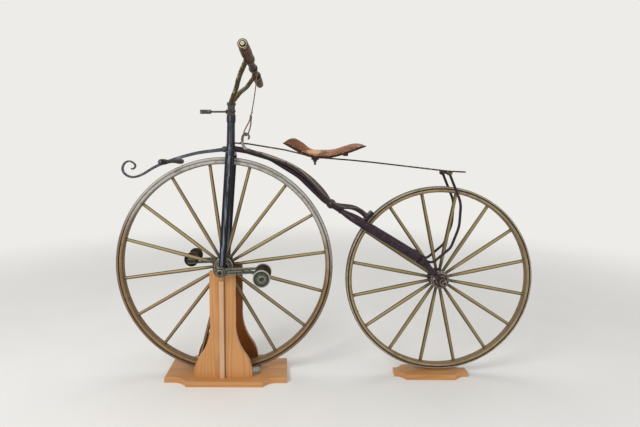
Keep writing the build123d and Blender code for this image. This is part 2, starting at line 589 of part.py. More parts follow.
# the leg rest's cross rod with two turned grips, hung under the bar
ROLLER_X, ROLLER_Z, ROLLER_R = -643, 921.5, 4.5
ROLLER_GRIP_INNER, ROLLER_GRIP_OUTER = 12, 157
with BuildPart() as leg_rest_rod:
    add(turned((ROLLER_X, ROLLER_Z), two_ended([
        (0, ROLLER_GRIP_OUTER + 5), (4, ROLLER_GRIP_OUTER + 4.5), (6.5, ROLLER_GRIP_OUTER + 2),
        (6.5, ROLLER_GRIP_OUTER), (ROLLER_R, ROLLER_GRIP_OUTER),
    ])))
    add(leg_rest.part, mode=Mode.SUBTRACT)
save(leg_rest_rod, "leg_rest_rod")

for name, side in SIDES.items():
    with BuildPart() as roller:
        add(turned((ROLLER_X, ROLLER_Z), [(r, side * y) for r, y in [
            (ROLLER_R, ROLLER_GRIP_INNER), (6.2, ROLLER_GRIP_INNER), (6.6, 35), (8.2, 62),
            (10.6, 92), (12, 118), (12, 138), (10.8, 150), (8.5, ROLLER_GRIP_OUTER),
            (ROLLER_R, ROLLER_GRIP_OUTER),
        ]]))
    save(roller, f"leg_rest_grip_{name}")

# saddle: a padded leather seat on an iron pan, arched underneath; each section is its x, the
# height of its foot and of its ridge, and its half width
SADDLE_SECTIONS = [
    (-166, 998, 1004, 11), (-150, 989.5, 1015, 24), (-125, 975, 1020, 29), (-95, 958, 1006, 33),
    (-55, 944, 977, 43), (-5, 938.5, 972, 62), (45, 946, 975, 79), (90, 959, 989, 90),
    (128, 973, 998, 90), (152, 982, 995, 78), (166, 985, 989, 50),
]
SADDLE_ARCH = 9
PAN_THICK, PAN_INSET = 4, 1.5
with BuildPart() as saddle:
    for x, foot, ridge, half in SADDLE_SECTIONS:
        high = ridge - foot
        with BuildSketch(Plane(origin=(x, 0, foot), x_dir=(0, 1, 0), z_dir=(1, 0, 0))):
            with BuildLine():
                Spline((-half, 0), (-0.95 * half, 0.45 * high), (-0.62 * half, 0.87 * high),
                       (0, high), (0.62 * half, 0.87 * high), (0.95 * half, 0.45 * high),
                       (half, 0))
                ThreePointArc((half, 0), (0, min(SADDLE_ARCH, high / 3)), (-half, 0))
            make_face()
    loft()
save(saddle, "saddle")

# the lug that carries the pan on the spring
LUG_X, LUG_Z, LUG_SIZE, LUG_FOOT_Z = 92, 950, (18, 24, 40), 945
with BuildPart() as saddle_lug:
    with Locations((LUG_X, 0, LUG_Z)):
        Box(*LUG_SIZE)
    add(saddle_spring.part, mode=Mode.SUBTRACT)
    add(saddle.part, mode=Mode.SUBTRACT)
    split(bisect_by=Plane((0, 0, LUG_FOOT_Z)), keep=Keep.TOP)

with BuildPart() as saddle_frame:
    for x, foot, ridge, half in SADDLE_SECTIONS:
        arch = min(SADDLE_ARCH, (ridge - foot) / 3)
        inset = half - PAN_INSET
        with BuildSketch(Plane(origin=(x, 0, foot), x_dir=(0, 1, 0), z_dir=(1, 0, 0))):
            with BuildLine():
                ThreePointArc((half, 0), (0, arch), (-half, 0))
                Line((-half, 0), (-inset, -PAN_THICK))
                ThreePointArc((-inset, -PAN_THICK), (0, arch - PAN_THICK), (inset, -PAN_THICK))
                Line((inset, -PAN_THICK), (half, 0))
            make_face()
    loft()
    add(saddle_spring.part, mode=Mode.SUBTRACT)
    add(saddle_lug.part)
save(saddle_frame, "saddle_frame")

# the clamp that grips the spring under the saddle, with a nut on its stud
CLAMP_X, CLAMP_Z, CLAMP_SIZE = -37, 936.5, (30, 46, 15)
CLAMP_NUT_R, CLAMP_NUT_Z, CLAMP_NUT_HIGH = 8.5, 921, 8
CLAMP_STUD_R, CLAMP_STUD_Z = 4.5, 908
with BuildPart() as saddle_clamp:
    with Locations((CLAMP_X, 0, CLAMP_Z)):
        Box(*CLAMP_SIZE)
    with BuildSketch(Plane(origin=(CLAMP_X, 0, CLAMP_NUT_Z))):
        RegularPolygon(CLAMP_NUT_R, 6)
    extrude(amount=CLAMP_NUT_HIGH)
    with BuildSketch(Plane(origin=(CLAMP_X, 0, CLAMP_STUD_Z))):
        Circle(CLAMP_STUD_R)
    extrude(amount=CLAMP_NUT_Z - CLAMP_STUD_Z + 1)
    add(saddle_spring.part, mode=Mode.SUBTRACT)
    add(saddle_frame.part, mode=Mode.SUBTRACT)
save(saddle_clamp, "saddle_clamp")

# stand: two foot boards with a slot for the wheel, a post on each and a batten on each post
STAND_X = -412
FOOT_HALF, FOOT_END_Y, FOOT_BELLY_HALF, FOOT_BELLY_Y = 256, 84, 157, 117
COVE_START, COVE_MIDDLE = 213, (183, 93)
SLOT_HALF, SLOT_Y = 140, 50
NOTCH_HALF, NOTCH_Z, NOTCH_TAPER = 34, 453, 8
POST_EDGES = {"left": (-50, 56), "right": (-63, 69)}
FLARE = [(0, 260), (9.5, 178), (39, 118), (62, 76), (68, FOOT_THICK)]
BATTEN_X = FRONT_AXLE_X + 0.5
for name, side in SIDES.items():
    with BuildPart() as foot:
        with BuildSketch():
            with BuildLine():
                Polyline((-COVE_START, FOOT_END_Y), (-FOOT_HALF, FOOT_END_Y), (-FOOT_HALF, 0),
                         (-SLOT_HALF, 0), (-SLOT_HALF, SLOT_Y), (SLOT_HALF, SLOT_Y),
                         (SLOT_HALF, 0), (FOOT_HALF, 0), (FOOT_HALF, FOOT_END_Y),
                         (COVE_START, FOOT_END_Y))
                ThreePointArc((COVE_START, FOOT_END_Y), COVE_MIDDLE,
                              (FOOT_BELLY_HALF, FOOT_BELLY_Y))
                Line((FOOT_BELLY_HALF, FOOT_BELLY_Y), (-FOOT_BELLY_HALF, FOOT_BELLY_Y))
                ThreePointArc((-FOOT_BELLY_HALF, FOOT_BELLY_Y),
                              (-COVE_MIDDLE[0], COVE_MIDDLE[1]), (-COVE_START, FOOT_END_Y))
            make_face()
            if side < 0:
                mirror(about=Plane.XZ, mode=Mode.REPLACE)
        extrude(amount=FOOT_THICK)
        chamfer(foot.faces().sort_by(Axis.Z)[-1].edges(), length=WOOD_BEVEL)
    foot.part.position = (STAND_X, 0, 0)
    save(foot, f"stand_foot_{name}")

    low_x, high_x = POST_EDGES[name]
    with BuildPart() as post:
        with BuildSketch(side_face(FRONT_AXLE_X, 0).offset(-side * POST_INNER)):
            with BuildLine():
                rear = [(high_x + x, z) for x, z in FLARE]
                fore = [(low_x - x, z) for x, z in FLARE]
                Polyline(rear[0], (high_x, POST_TOP), (NOTCH_HALF, POST_TOP),
                         (NOTCH_HALF - NOTCH_TAPER, NOTCH_Z), (NOTCH_TAPER - NOTCH_HALF, NOTCH_Z),
                         (-NOTCH_HALF, POST_TOP), (low_x, POST_TOP), fore[0])
                ThreePointArc(*fore[0:3])
                ThreePointArc(*fore[2:5])
                Line(fore[4], rear[4])
                ThreePointArc(*rear[4:1:-1])
                ThreePointArc(*rear[2::-1])
            make_face()
        extrude(amount=-side * (POST_OUTER - POST_INNER))
    save(post, f"stand_post_{name}")

    with BuildPart() as batten:
        with BuildSketch(side_face(BATTEN_X, 0).offset(-side * POST_OUTER)):
            with Locations((0, (FOOT_THICK + BATTEN_TOP) / 2)):
                Rectangle(BATTEN_WIDE, BATTEN_TOP - FOOT_THICK)
        extrude(amount=-side * BATTEN_THICK)
        front_face = batten.faces().sort_by(Axis.Y)[0 if side < 0 else -1]
        chamfer(front_face.edges().sort_by(Axis.Z)[1:], length=WOOD_BEVEL)
    save(batten, f"stand_batten_{name}")

# the rear block, shaped like the stand's feet
BLOCK_FRONT_X, BLOCK_REAR_X, BLOCK_MIDDLE_Y = 307, 620, -12.5
BLOCK_FRONT_COVE = [(322, 18.5), (338, 29), (350, 44.5)]
BLOCK_REAR_COVE = [(558, 44.5), (575, 29), (598, 18.5)]
with BuildPart() as rear_block:
    with BuildSketch(Plane(origin=(0, BLOCK_MIDDLE_Y, 0))):
        with BuildLine():
            for side in SIDES.values():
                fore = [(x, side * y) for x, y in BLOCK_FRONT_COVE]
                rear = [(x, side * y) for x, y in BLOCK_REAR_COVE]
                Polyline((BLOCK_FRONT_X, 0), (BLOCK_FRONT_X, fore[0][1]), fore[0])
                ThreePointArc(*fore)
                Line(fore[2], rear[0])
                ThreePointArc(*rear)
                Polyline(rear[2], (BLOCK_REAR_X, rear[2][1]), (BLOCK_REAR_X, 0))
        make_face()
    extrude(amount=FOOT_THICK)
    chamfer(rear_block.faces().sort_by(Axis.Z)[-1].edges(), length=WOOD_BEVEL)
save(rear_block, "rear_block")
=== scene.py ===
"""Finishes and small pieces of a wooden-wheeled velocipede on its stand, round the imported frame."""

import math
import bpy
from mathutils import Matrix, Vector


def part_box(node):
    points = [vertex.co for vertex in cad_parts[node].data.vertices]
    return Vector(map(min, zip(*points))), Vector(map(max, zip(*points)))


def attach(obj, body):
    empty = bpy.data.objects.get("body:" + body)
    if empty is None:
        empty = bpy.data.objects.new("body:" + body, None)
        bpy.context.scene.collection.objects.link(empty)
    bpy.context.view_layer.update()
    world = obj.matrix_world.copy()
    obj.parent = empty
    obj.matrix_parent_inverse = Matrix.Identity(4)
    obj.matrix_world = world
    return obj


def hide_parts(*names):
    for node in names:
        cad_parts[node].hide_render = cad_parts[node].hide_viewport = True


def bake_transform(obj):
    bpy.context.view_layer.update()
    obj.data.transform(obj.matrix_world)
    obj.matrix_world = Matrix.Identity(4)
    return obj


bl_info = {
    "name": "Velocipede Finish",
    "version": (1, 0, 0),
    "blender": (4, 5, 0),
    "location": "View3D > Sidebar > Velocipede",
    "description": "Finishes a wooden-wheeled velocipede, its leather saddle, cord and pine stand",
    "category": "Object",
}

import bpy
import numpy as np
from bpy.props import FloatProperty, FloatVectorProperty, IntProperty, PointerProperty
from bpy.types import Operator, Panel, PropertyGroup

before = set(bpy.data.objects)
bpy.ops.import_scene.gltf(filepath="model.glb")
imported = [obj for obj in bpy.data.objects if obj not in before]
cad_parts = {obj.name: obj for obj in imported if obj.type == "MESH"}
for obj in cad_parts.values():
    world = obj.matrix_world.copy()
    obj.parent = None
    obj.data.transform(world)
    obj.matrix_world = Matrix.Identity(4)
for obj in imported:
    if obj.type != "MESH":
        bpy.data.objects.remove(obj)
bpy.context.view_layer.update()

MM = 0.001
SIDES = {"left": -1, "right": 1}
X_AXIS, Y_AXIS, Z_AXIS = np.eye(3)
SPOKES = 16


# what the frame gives

def middle(node):
    """The middle of a node's box, in metres."""
    low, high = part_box(node)
    return np.array((low + high) / 2)


def corners(node):
    """The low and the high corner of a node's box, in metres."""
    low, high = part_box(node)
    return np.array(low), np.array(high)


def reach(node):
    """Half of a node's length along X, which is a wheel part's outer radius."""
    low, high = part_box(node)
    return (high.x - low.x) / 2


class Wheel:
    """A wheel's axle and its parts' radii, in metres, and its first spoke's angle, clockwise from
    the top."""

    def __init__(self, end, felloe_depth, first_spoke):
        self.axle = middle(f"{end}_tyre")
        self.outer = reach(f"{end}_tyre")
        self.rim = reach(f"{end}_felloe")
        self.inner = self.rim - felloe_depth * MM
        self.hub = reach(f"{end}_hub")
        self.first_spoke = math.radians(first_spoke)


WHEELS = {"front": Wheel("front", 18, -7.6), "rear": Wheel("rear", 17, -11.9)}
CRANK_TILT = math.radians(3)


# colours and other values that a user would change

def linear(red, green, blue):
    """A screen colour of 0 to 255 a channel as the linear values that a shader takes."""
    channels = np.array([red, green, blue]) / 255
    curve = ((channels + 0.055) / 1.055) ** 2.4
    return tuple(np.where(channels <= 0.04045, channels / 12.92, curve))


def toned(colour, factor):
    """A colour made darker or lighter by a factor."""
    return tuple(min(1.0, factor * channel) for channel in colour)


def paint(label, words, screen):
    """A colour property whose default is given as a screen colour."""
    return FloatVectorProperty(
        name=label, description=words, subtype="COLOR", size=3, min=0, max=1,
        default=linear(*screen),
    )


def span(label, words, value, low=0.0, high=1.0):
    """A length property in metres."""
    return FloatProperty(
        name=label, description=words, default=value, min=low, max=high, unit="LENGTH"
    )


class VelocipedeColours(PropertyGroup):
    frame_paint: paint("Frame paint", "Purple black paint on backbone and legs", (50, 39, 47))
    frame_bare: paint("Frame bare metal", "Metal where the paint is gone", (134, 110, 92))
    fork_paint: paint("Fork paint", "Blue black paint on the front fork and head", (28, 29, 34))
    # the fork's light streaks are painted reflection; the leg rest takes this colour as its bare
    # metal
    fork_sheen_and_rest_bare: paint("Fork streaks", "Light blue streaks down the fork", (132, 140, 158))
    rest_iron: paint("Leg rest iron", "Blue grey iron of the leg rest", (78, 80, 86))
    spring_iron: paint("Spring iron", "Dark scale on the spring and the pan", (66, 54, 48))
    spring_bare: paint("Spring bare metal", "Rubbed edges of the spring", (150, 134, 116))
    lever_iron: paint("Lever iron", "Grey olive iron of the brake lever", (84, 74, 66))
    # the lever's light upper streak is a painted highlight
    lever_highlight: paint("Lever light", "Rubbed upper edge of the lever", (186, 172, 158))
    cap_iron: paint("Cap iron", "Ringed iron of the head cap", (70, 66, 64))
    bar_steel: paint("Bar steel", "Dark olive patina of the handlebar's arms", (88, 75, 50))
    # the bright colour also carries the painted highlight on the fronts of the arms
    bar_bright: paint("Bar bright steel", "Rubbed stripes on the arms", (190, 180, 152))
    drum_iron: paint("Drum iron", "Dark brown iron of the bar's middle", (52, 32, 24))
    front_hub: paint("Front hub iron", "Olive iron of the front hub", (60, 58, 48))
    rear_hub: paint("Rear hub iron", "Purple brown iron of the rear hub", (62, 46, 43))
    hub_bright: paint("Hub bright metal", "Rubbed rings of the hubs", (164, 156, 142))
    crank_iron: paint("Crank iron", "Teal olive iron of the cranks", (62, 67, 58))
    # the cranks' bright edges, groove line and boss rings are painted highlights
    crank_highlight: paint("Crank bright metal", "Rubbed edges of the cranks", (142, 144, 130))
    pedal_steel: paint("Pedal steel", "Polished rings of the near pedal", (168, 172, 160))
    pedal_grey: paint("Pedal grey", "Grey faces of the near pedal", (98, 98, 86))
    pedal_dark: paint("Pedal dark", "Nearly black far pedal", (52, 42, 32))
    # the front wheel's silver grey upper rim is a painted sheen of light from above
    rim_sheen_above: paint("Rim above", "Silver grey of the front wheel's upper rim", (184, 181, 174))
    tyre_low: paint("Tyre below", "Grey brown of the front wheel's lower tyre", (132, 112, 94))
    rear_tyre: paint("Rear tyre", "Pale grey of the rear tyre", (184, 172, 150))
    rim_low: paint("Rim below", "Olive brown of the front wheel's lower rim", (150, 120, 78))
    rear_rim: paint("Rear rim", "Golden olive of the rear rim", (166, 146, 108))
    # the stain colour also paints shade on the felloes' inner strips
    rim_stain_and_shade: paint("Rim stain", "Brown stains and cracks of the rims", (92, 70, 50))
    # the dark line between tyre and wood is partly painted shade of the gap
    rim_line: paint("Rim line", "Dark line where the tyre meets the wood", (38, 32, 27))
    spoke_wood: paint("Spoke wood", "Olive gold paint of the spokes", (134, 115, 72))
    # the spokes' light ridges and tops are painted highlight
    spoke_highlight: paint("Spoke light", "Rubbed ridges of the spokes", (204, 182, 130))
    # the spokes' dark sides and undersides are painted shade; the same colour darkens the tips
    spoke_shade_and_dirt: paint("Spoke dirt", "Dirt along the spokes' sides and tips", (50, 38, 26))
    spoke_red: paint("Reddish spokes", "Front wheel's spokes below and ahead", (120, 82, 56))
    spoke_grey: paint("Greyish spokes", "Front wheel's spokes below and behind", (98, 81, 67))
    pine: paint("Pine", "Pale varnished pine of the stand", (206, 150, 94))
    pine_ring: paint("Pine rings", "Year rings of the pine", (180, 122, 66))
    pine_pale: paint("Pale pine", "Planed batten on the post", (208, 174, 142))
    # the far post is the same pine, darkened as painted shade
    pine_shaded: paint("Dark pine", "Older board of the far post", (146, 86, 36))
    grip_wood: paint("Grip wood", "Dark turned wood of the grips", (64, 37, 8))
    grip_light: paint("Grip worn wood", "Worn lighter wood of the grips", (114, 78, 32))
    roller_wood: paint("Roller wood", "Dark olive wood of the leg rest's grips", (54, 46, 32))
    leather: paint("Leather", "Orange brown leather of the saddle", (138, 86, 54))
    leather_dark: paint("Leather shade", "Dark streaks and edges of the leather", (74, 43, 25))
    # the pale leather also paints the highlight on the saddle's narrow part
    leather_worn_and_sheen: paint("Worn leather", "Rubbed pale leather", (204, 164, 126))
    thread: paint("Thread", "Waxed thread of the saddle's stitches", (182, 142, 98))
    cord: paint("Cord", "Grey brown brake cord", (142, 120, 100))
    fitting: paint("Fittings", "Dark iron of nuts and screws", (74, 66, 58))
    fitting_bright: paint("Bright fittings", "Rubbed edges of nuts and screws", (182, 170, 148))


class VelocipedeSizes(PropertyGroup):
    stitch_pitch: span("Stitch pitch", "From one saddle stitch to the next", 8 * MM)
    stitch_length: span("Stitch length", "Length of one saddle stitch", 5 * MM)
    strand: span("Strand", "Radius of each of the brake cord's two strands", 1.4 * MM)
    lay: span("Lay", "Length in which the strands go once round each other", 12 * MM)
    coil_turns: IntProperty(
        name="Coil turns", description="Turns of cord on the bar", default=3, min=1, max=8
    )
    saddle_rows: IntProperty(
        name="Saddle rows", description="Rows of faces along the saddle", default=150, min=8
    )
    saddle_columns: IntProperty(
        name="Saddle columns", description="Faces across the saddle", default=64, min=8
    )


class VelocipedeStage(PropertyGroup):
    floor: paint("Floor", "Plain pale floor", (232, 230, 226))
    backdrop: paint("Backdrop", "Pale surroundings, as the camera sees them", (238, 236, 232))
    ambient: FloatProperty(
        name="Ambient", description="Even light from all round", default=0.46, min=0
    )
    fade_start: span("Fade start", "Radius where the floor starts to fade", 1.3, high=20)
    fade_end: span("Fade end", "Radius where it has the backdrop's colour", 4.2, high=20)
    focal: FloatProperty(name="Lens", description="Focal length", default=22.5, unit="CAMERA")
    eye: FloatVectorProperty(
        name="Eye", description="Where the camera stands", subtype="TRANSLATION", unit="LENGTH",
        default=(-0.1387, -1.6962, 0.938),
    )
    down: FloatProperty(
        name="Tilt down", description="How far the lens looks down", default=0.0633, unit="ROTATION"
    )
    turn: FloatProperty(
        name="Turn left", description="How far it looks left", default=0.0067, unit="ROTATION"
    )


RUST = linear(92, 58, 38)
CHIPPED = linear(100, 78, 60)
END_SHADE = linear(30, 24, 19)
HUB_DIRT = linear(50, 42, 35)
# the colour of the painted shadow beside the batten
BATTEN_SHADOW_TONE = linear(92, 56, 28)


# shader maths

class Term:
    """A socket of a finish. An expression on terms adds the Math nodes that work it out."""

    def __init__(self, finish, socket):
        self.finish = finish
        self.socket = socket

    def maths(self, operation, *values):
        return self.finish.node("ShaderNodeMath", {"operation": operation}, dict(enumerate(values)))

    def __abs__(self):
        return self.maths("ABSOLUTE", self)

    def larger(self, other):
        return self.maths("MAXIMUM", self, other)

    def sine(self):
        return self.maths("SINE", self)

    def between(self, low, high):
        """0 below low, 1 above high and a smooth rise between."""
        sockets = {0: self, 1: low, 2: high, 3: 0.0, 4: 1.0}
        return self.finish.node("ShaderNodeMapRange", {"interpolation_type": "SMOOTHSTEP"}, sockets)

    def band(self, low, high, soft):
        """1 from low to high, falling to 0 over the soft width outside."""
        return self.between(low - soft, low) - self.between(high, high + soft)


def two_sided(operation):
    """An operator's method for a term on the left, and the one for a term on the right."""
    return (
        lambda self, other: self.maths(operation, self, other),
        lambda self, other: self.maths(operation, other, self),
    )


OPERATIONS = {
    "add": "ADD", "sub": "SUBTRACT", "mul": "MULTIPLY", "truediv": "DIVIDE", "pow": "POWER",
}
for symbol, operation in OPERATIONS.items():
    for prefix, method in zip(("", "r"), two_sided(operation)):
        setattr(Term, f"__{prefix}{symbol}__", method)


class Finish:
    """One procedural material, or the world. Every node but maths comes from its node method."""

    def __init__(self, name, store="materials"):
        self.holder = getattr(bpy.data, store).new(name)
        self.holder.use_nodes = True
        self.tree = self.holder.node_tree
        self.tree.nodes.clear()
        if store == "materials":
            self.place = self.node("ShaderNodeTexCoord", out="Object")

    def node(self, kind, settings=None, sockets=None, out=0):
        """Add a node, set its settings, then its sockets' values or links, and give one output."""
        made = self.tree.nodes.new(kind)
        for name, value in (settings or {}).items():
            setattr(made, name, value)
        for key, value in (sockets or {}).items():
            if isinstance(value, Term):
                self.tree.links.new(value.socket, made.inputs[key])
            else:
                made.inputs[key].default_value = value
        return Term(self, made.outputs[out]) if made.outputs else None

    def outputs(self, term):
        """All outputs of a term's node, by name."""
        return {socket.name: Term(self, socket) for socket in term.socket.node.outputs}

    def mix(self, share, first, second):
        """A colour between two colours or colour terms."""
        pair = [value if isinstance(value, Term) else (*value, 1.0) for value in (first, second)]
        sockets = {0: share, 6: pair[0], 7: pair[1]}
        return self.node("ShaderNodeMix", {"data_type": "RGBA"}, sockets, out=2)

    def mottled(self, noise, low, high, colour, dark, light=1.0):
        """A colour that a noise takes from a darker to a lighter tone between two levels."""
        return self.mix(noise.between(low, high), toned(colour, dark), toned(colour, light))

    def noise(self, scale, detail=5.0, roughness=0.6, at=None, fourth=None):
        """Fractal noise of about 0.3 to 0.7, at a scale in cells a metre."""
        sockets = {"Vector": at or self.place, "Scale": scale, "Detail": detail}
        sockets["Roughness"] = roughness
        if fourth is not None:
            sockets["W"] = fourth
        settings = {"noise_dimensions": "3D" if fourth is None else "4D"}
        return self.node("ShaderNodeTexNoise", settings, sockets)

    def rim_noise(self, radius, slow, fast, detail, roughness):
        """Noise that is slow along a wheel's rim and fast across it, in cells a metre."""
        x, y, z = self.axes()
        at = self.joined(x * slow, y * fast, z * slow)
        return self.noise(1.0, detail, roughness, at, radius * fast)

    def cells(self, scale):
        """Distance to the nearest border between irregular cells."""
        sockets = {"Vector": self.place, "Scale": scale}
        return self.node("ShaderNodeTexVoronoi", {"feature": "DISTANCE_TO_EDGE"}, sockets)

    def scaled(self, factors, shift=(0.0, 0.0, 0.0)):
        """The place with each axis drawn out or drawn in."""
        sockets = {"Vector": self.place, "Location": shift, "Scale": factors}
        return self.node("ShaderNodeMapping", None, sockets)

    def axes(self, vector=None):
        """X, Y and Z of the place, or of another vector, as three terms."""
        split = self.node("ShaderNodeSeparateXYZ", None, {0: vector or self.place})
        return self.outputs(split).values()

    def facing(self):
        """How far the surface faces along X, Y and Z, each from -1 to 1, as three terms."""
        return self.axes(self.node("ShaderNodeTexCoord", out="Normal"))

    def joined(self, x, y, z):
        """Three terms as one vector."""
        return self.node("ShaderNodeCombineXYZ", None, {0: x, 1: y, 2: z})

    def about(self, centre):
        """Across, up and radius from an axle that runs along Y through centre."""
        x, _, z = self.axes()
        across, up = x - float(centre[0]), z - float(centre[2])
        return across, up, (across * across + up * up) ** 0.5

    def rings(self, radius, bands, soft=0.5 * MM):
        """1 in each of several bands of radius, given in mm."""
        share = 0.0
        for low, high in bands:
            share = share + radius.band(low * MM, high * MM, soft)
        return share

    def principled(
        self, colour, roughness, metallic=0.0, height=None, depth=0.5 * MM, coat=0.0, shine=0.3
    ):
        """The finish's shader. Depth is how far the height's full range stands out, and shine is
        how much it reflects straight on."""
        sockets = {"Base Color": colour if isinstance(colour, Term) else (*colour, 1.0)}
        sockets.update({"Roughness": roughness, "Metallic": metallic})
        sockets.update({"Specular IOR Level": shine, "Coat Weight": coat, "Coat Roughness": 0.25})
        if height is not None:
            bump = {"Strength": 1.0, "Distance": depth, "Height": height}
            sockets["Normal"] = self.node("ShaderNodeBump", None, bump)
        return self.node("ShaderNodeBsdfPrincipled", None, sockets)

    def surface(self, *args, **kwargs):
        """Close the finish with its shader and give the material."""
        self.node("ShaderNodeOutputMaterial", None, {"Surface": self.principled(*args, **kwargs)})
        return self.holder


# finishes

def worn_iron(name, coat_colour, bare, wear=0.5, gloss=0.42):
    """Old paint or scale on forged iron. Broad noise and fine noise added up pass a limit where the
    metal shows, and specks of rust lie over both."""
    finish = Finish(name)
    broad = finish.noise(8.0, 4.0, 0.5)
    fine = finish.noise(90.0)
    speck = finish.noise(420.0, 2.0, 0.5)
    bare_share = (broad * 0.4 + fine * 0.6).between(0.62 - 0.12 * wear, 0.72 - 0.1 * wear)
    rubbed = finish.mix(bare_share, finish.mottled(fine, 0.35, 0.65, coat_colour, 0.7, 1.35), bare)
    rust = finish.mix((speck * 0.6 + fine * 0.4).between(0.58, 0.68) * 0.5, rubbed, RUST)
    rough = gloss + 0.25 * (fine - 0.5) + 0.12 * (speck - 0.5)
    height = broad * 0.5 + fine * 0.35 + speck * 0.1 - bare_share * 0.08
    return finish.surface(rust, rough, bare_share * 0.6, height, 0.9 * MM, shine=0.15)


def streaked_iron(name, coat_colour, light, foot, top, share=0.8):
    """Glossy upright iron with light streaks of painted reflection along its height, from noise
    drawn out along Z, and a few brown chips. The painted streaks close up in a band of painted
    highlight in front of the line from foot to top, which are each (x, z) in metres."""
    finish = Finish(name)
    x, _, z = finish.axes()
    long = finish.noise(150.0, 4.0, 0.55, finish.scaled((1.0, 1.0, 0.045)))
    broad = finish.noise(7.0, 3.0, 0.5)
    fine = finish.noise(190.0, 4.0)
    lean = (top[0] - foot[0]) / (top[1] - foot[1])
    # painted highlight: a band in front of the line, as light falls from the left
    lit = (x - ((z - foot[1]) * lean + foot[0])).band(-4 * MM, 3 * MM, 5 * MM)
    streak = (long * 0.7 + broad * 0.1 + lit * 0.2).between(0.48, 0.68)
    tone = finish.mix(streak * share, coat_colour, light)
    chips = (fine * 0.6 + broad * 0.4).between(0.57, 0.63) * 0.7
    return finish.surface(
        finish.mix(chips, tone, CHIPPED), 0.34 + 0.2 * (fine - 0.5), 0.1,
        long * 0.5 + fine * 0.25, 0.5 * MM, shine=0.2,
    )


def ringed_iron(name, centre, coat_colour, bright, bands):
    """Turned iron about an axle along Y, dark but for rubbed bands of radius and thin turning
    marks between them."""
    finish = Finish(name)
    _, _, radius = finish.about(centre)
    fine = finish.noise(130.0)
    marks = (radius * 3800.0).sine()
    light = finish.rings(radius, bands) * fine.between(0.3, 0.5)
    worn = finish.mix(light * 0.85, finish.mottled(fine, 0.34, 0.62, coat_colour, 0.5, 1.2), bright)
    rough = 0.38 + 0.25 * (fine - 0.5) - 0.08 * light
    height = fine * 0.6 + marks * 0.04
    return finish.surface(worn, rough, 0.2 + light * 0.4, height, 0.6 * MM, shine=0.1)


def crank_iron(name, colours):
    """The cranks: the distance across the arm, from its tilt about the front axle, makes painted
    highlights on the edges and a painted bright line of reflection in the groove; the boss gets
    painted bright rings."""
    finish = Finish(name)
    x, up, radius = finish.about(WHEELS["front"].axle)
    across = abs(up * math.cos(CRANK_TILT) - x * math.sin(CRANK_TILT))
    fine = finish.noise(120.0)
    tone = finish.mottled(fine, 0.34, 0.62, colours.crank_iron, 0.5, 1.25)
    # painted highlight along the arm's edges
    edges = across.band(8.6 * MM, 12 * MM, 1.2 * MM)
    edges = edges * radius.between(20 * MM, 26 * MM)
    # painted reflection in the groove
    groove = 1 - across.between(2.5 * MM, 4 * MM)
    groove = groove * radius.band(30 * MM, 86 * MM, 3 * MM)
    boss = finish.rings(radius, [(17, 20), (11, 13.5)])
    light = (edges * 0.75 + groove + boss * 0.7) * fine.between(0.3, 0.48)
    return finish.surface(
        finish.mix(light * 0.8, tone, colours.crank_highlight), 0.38 + 0.25 * (fine - 0.5),
        0.2 + light * 0.35, fine, 0.7 * MM, shine=0.15,
    )


def old_steel(name, patina, bright):
    """Handled steel: dark patina, with rubbed stripes from noise drawn out along the height. Faces
    that look to the front get a painted highlight toward the grips."""
    finish = Finish(name)
    _, _, z = finish.axes()
    ahead, _, _ = finish.facing()
    broad = finish.noise(60.0, 3.0, 0.5, finish.scaled((1.0, 1.0, 0.25)))
    fine = finish.noise(150.0)
    # painted highlight on faces that look to the front, high on the arms
    front_highlight = (1 - ahead.between(-0.75, -0.2)) * z.between(1.12, 1.24)
    rubbed = (broad * 0.6 + fine * 0.3 + front_highlight * 0.1).between(0.5, 0.62)
    tone = finish.mix(rubbed * 0.8, finish.mottled(fine, 0.32, 0.6, patina, 0.3), bright)
    rough = 0.38 + 0.3 * (fine - 0.5) - 0.1 * rubbed
    return finish.surface(tone, rough, 0.3, broad * 0.4 + fine * 0.4, 0.6 * MM, shine=0.15)


def bar_finish(name, colours):
    """The handlebar: dark brown iron along its middle. Past the grips, each end has a rubbed outer
    ring, a hollow darkened with painted shade and a bright nut."""
    finish = Finish(name)
    _, high = corners("handlebar")
    _, y, _ = finish.axes()
    _, _, radius = finish.about(middle("handlebar"))
    fine = finish.noise(150.0)
    end = abs(y).between(float(high[1]) - 10 * MM, float(high[1]) - 9 * MM)
    light = finish.rings(radius, [(11.5, 15), (0, 7)]) * end
    tone = finish.mottled(fine, 0.34, 0.62, colours.drum_iron, 0.45, 1.3)
    # the hollow in each end is painted shade
    return finish.surface(
        finish.mix(light, finish.mix(end * 0.7, tone, END_SHADE), colours.bar_bright),
        0.45 + 0.25 * (fine - 0.5), 0.2, fine, 0.6 * MM, shine=0.1,
    )


# points of the brake lever's middle line as (x, z) in mm, between its hook and its shoe
LEVER_LINE = np.array([
    (-324, 973), (-278, 959.5), (-235, 946.5), (-187, 928.5), (-148, 911), (-105, 885),
    (-58, 848.5), (-17, 806), (10, 770), (30, 747), (54, 738), (84, 734), (115, 730), (147, 718),
    (179, 691),
], float)
LEVER_POWER = 7


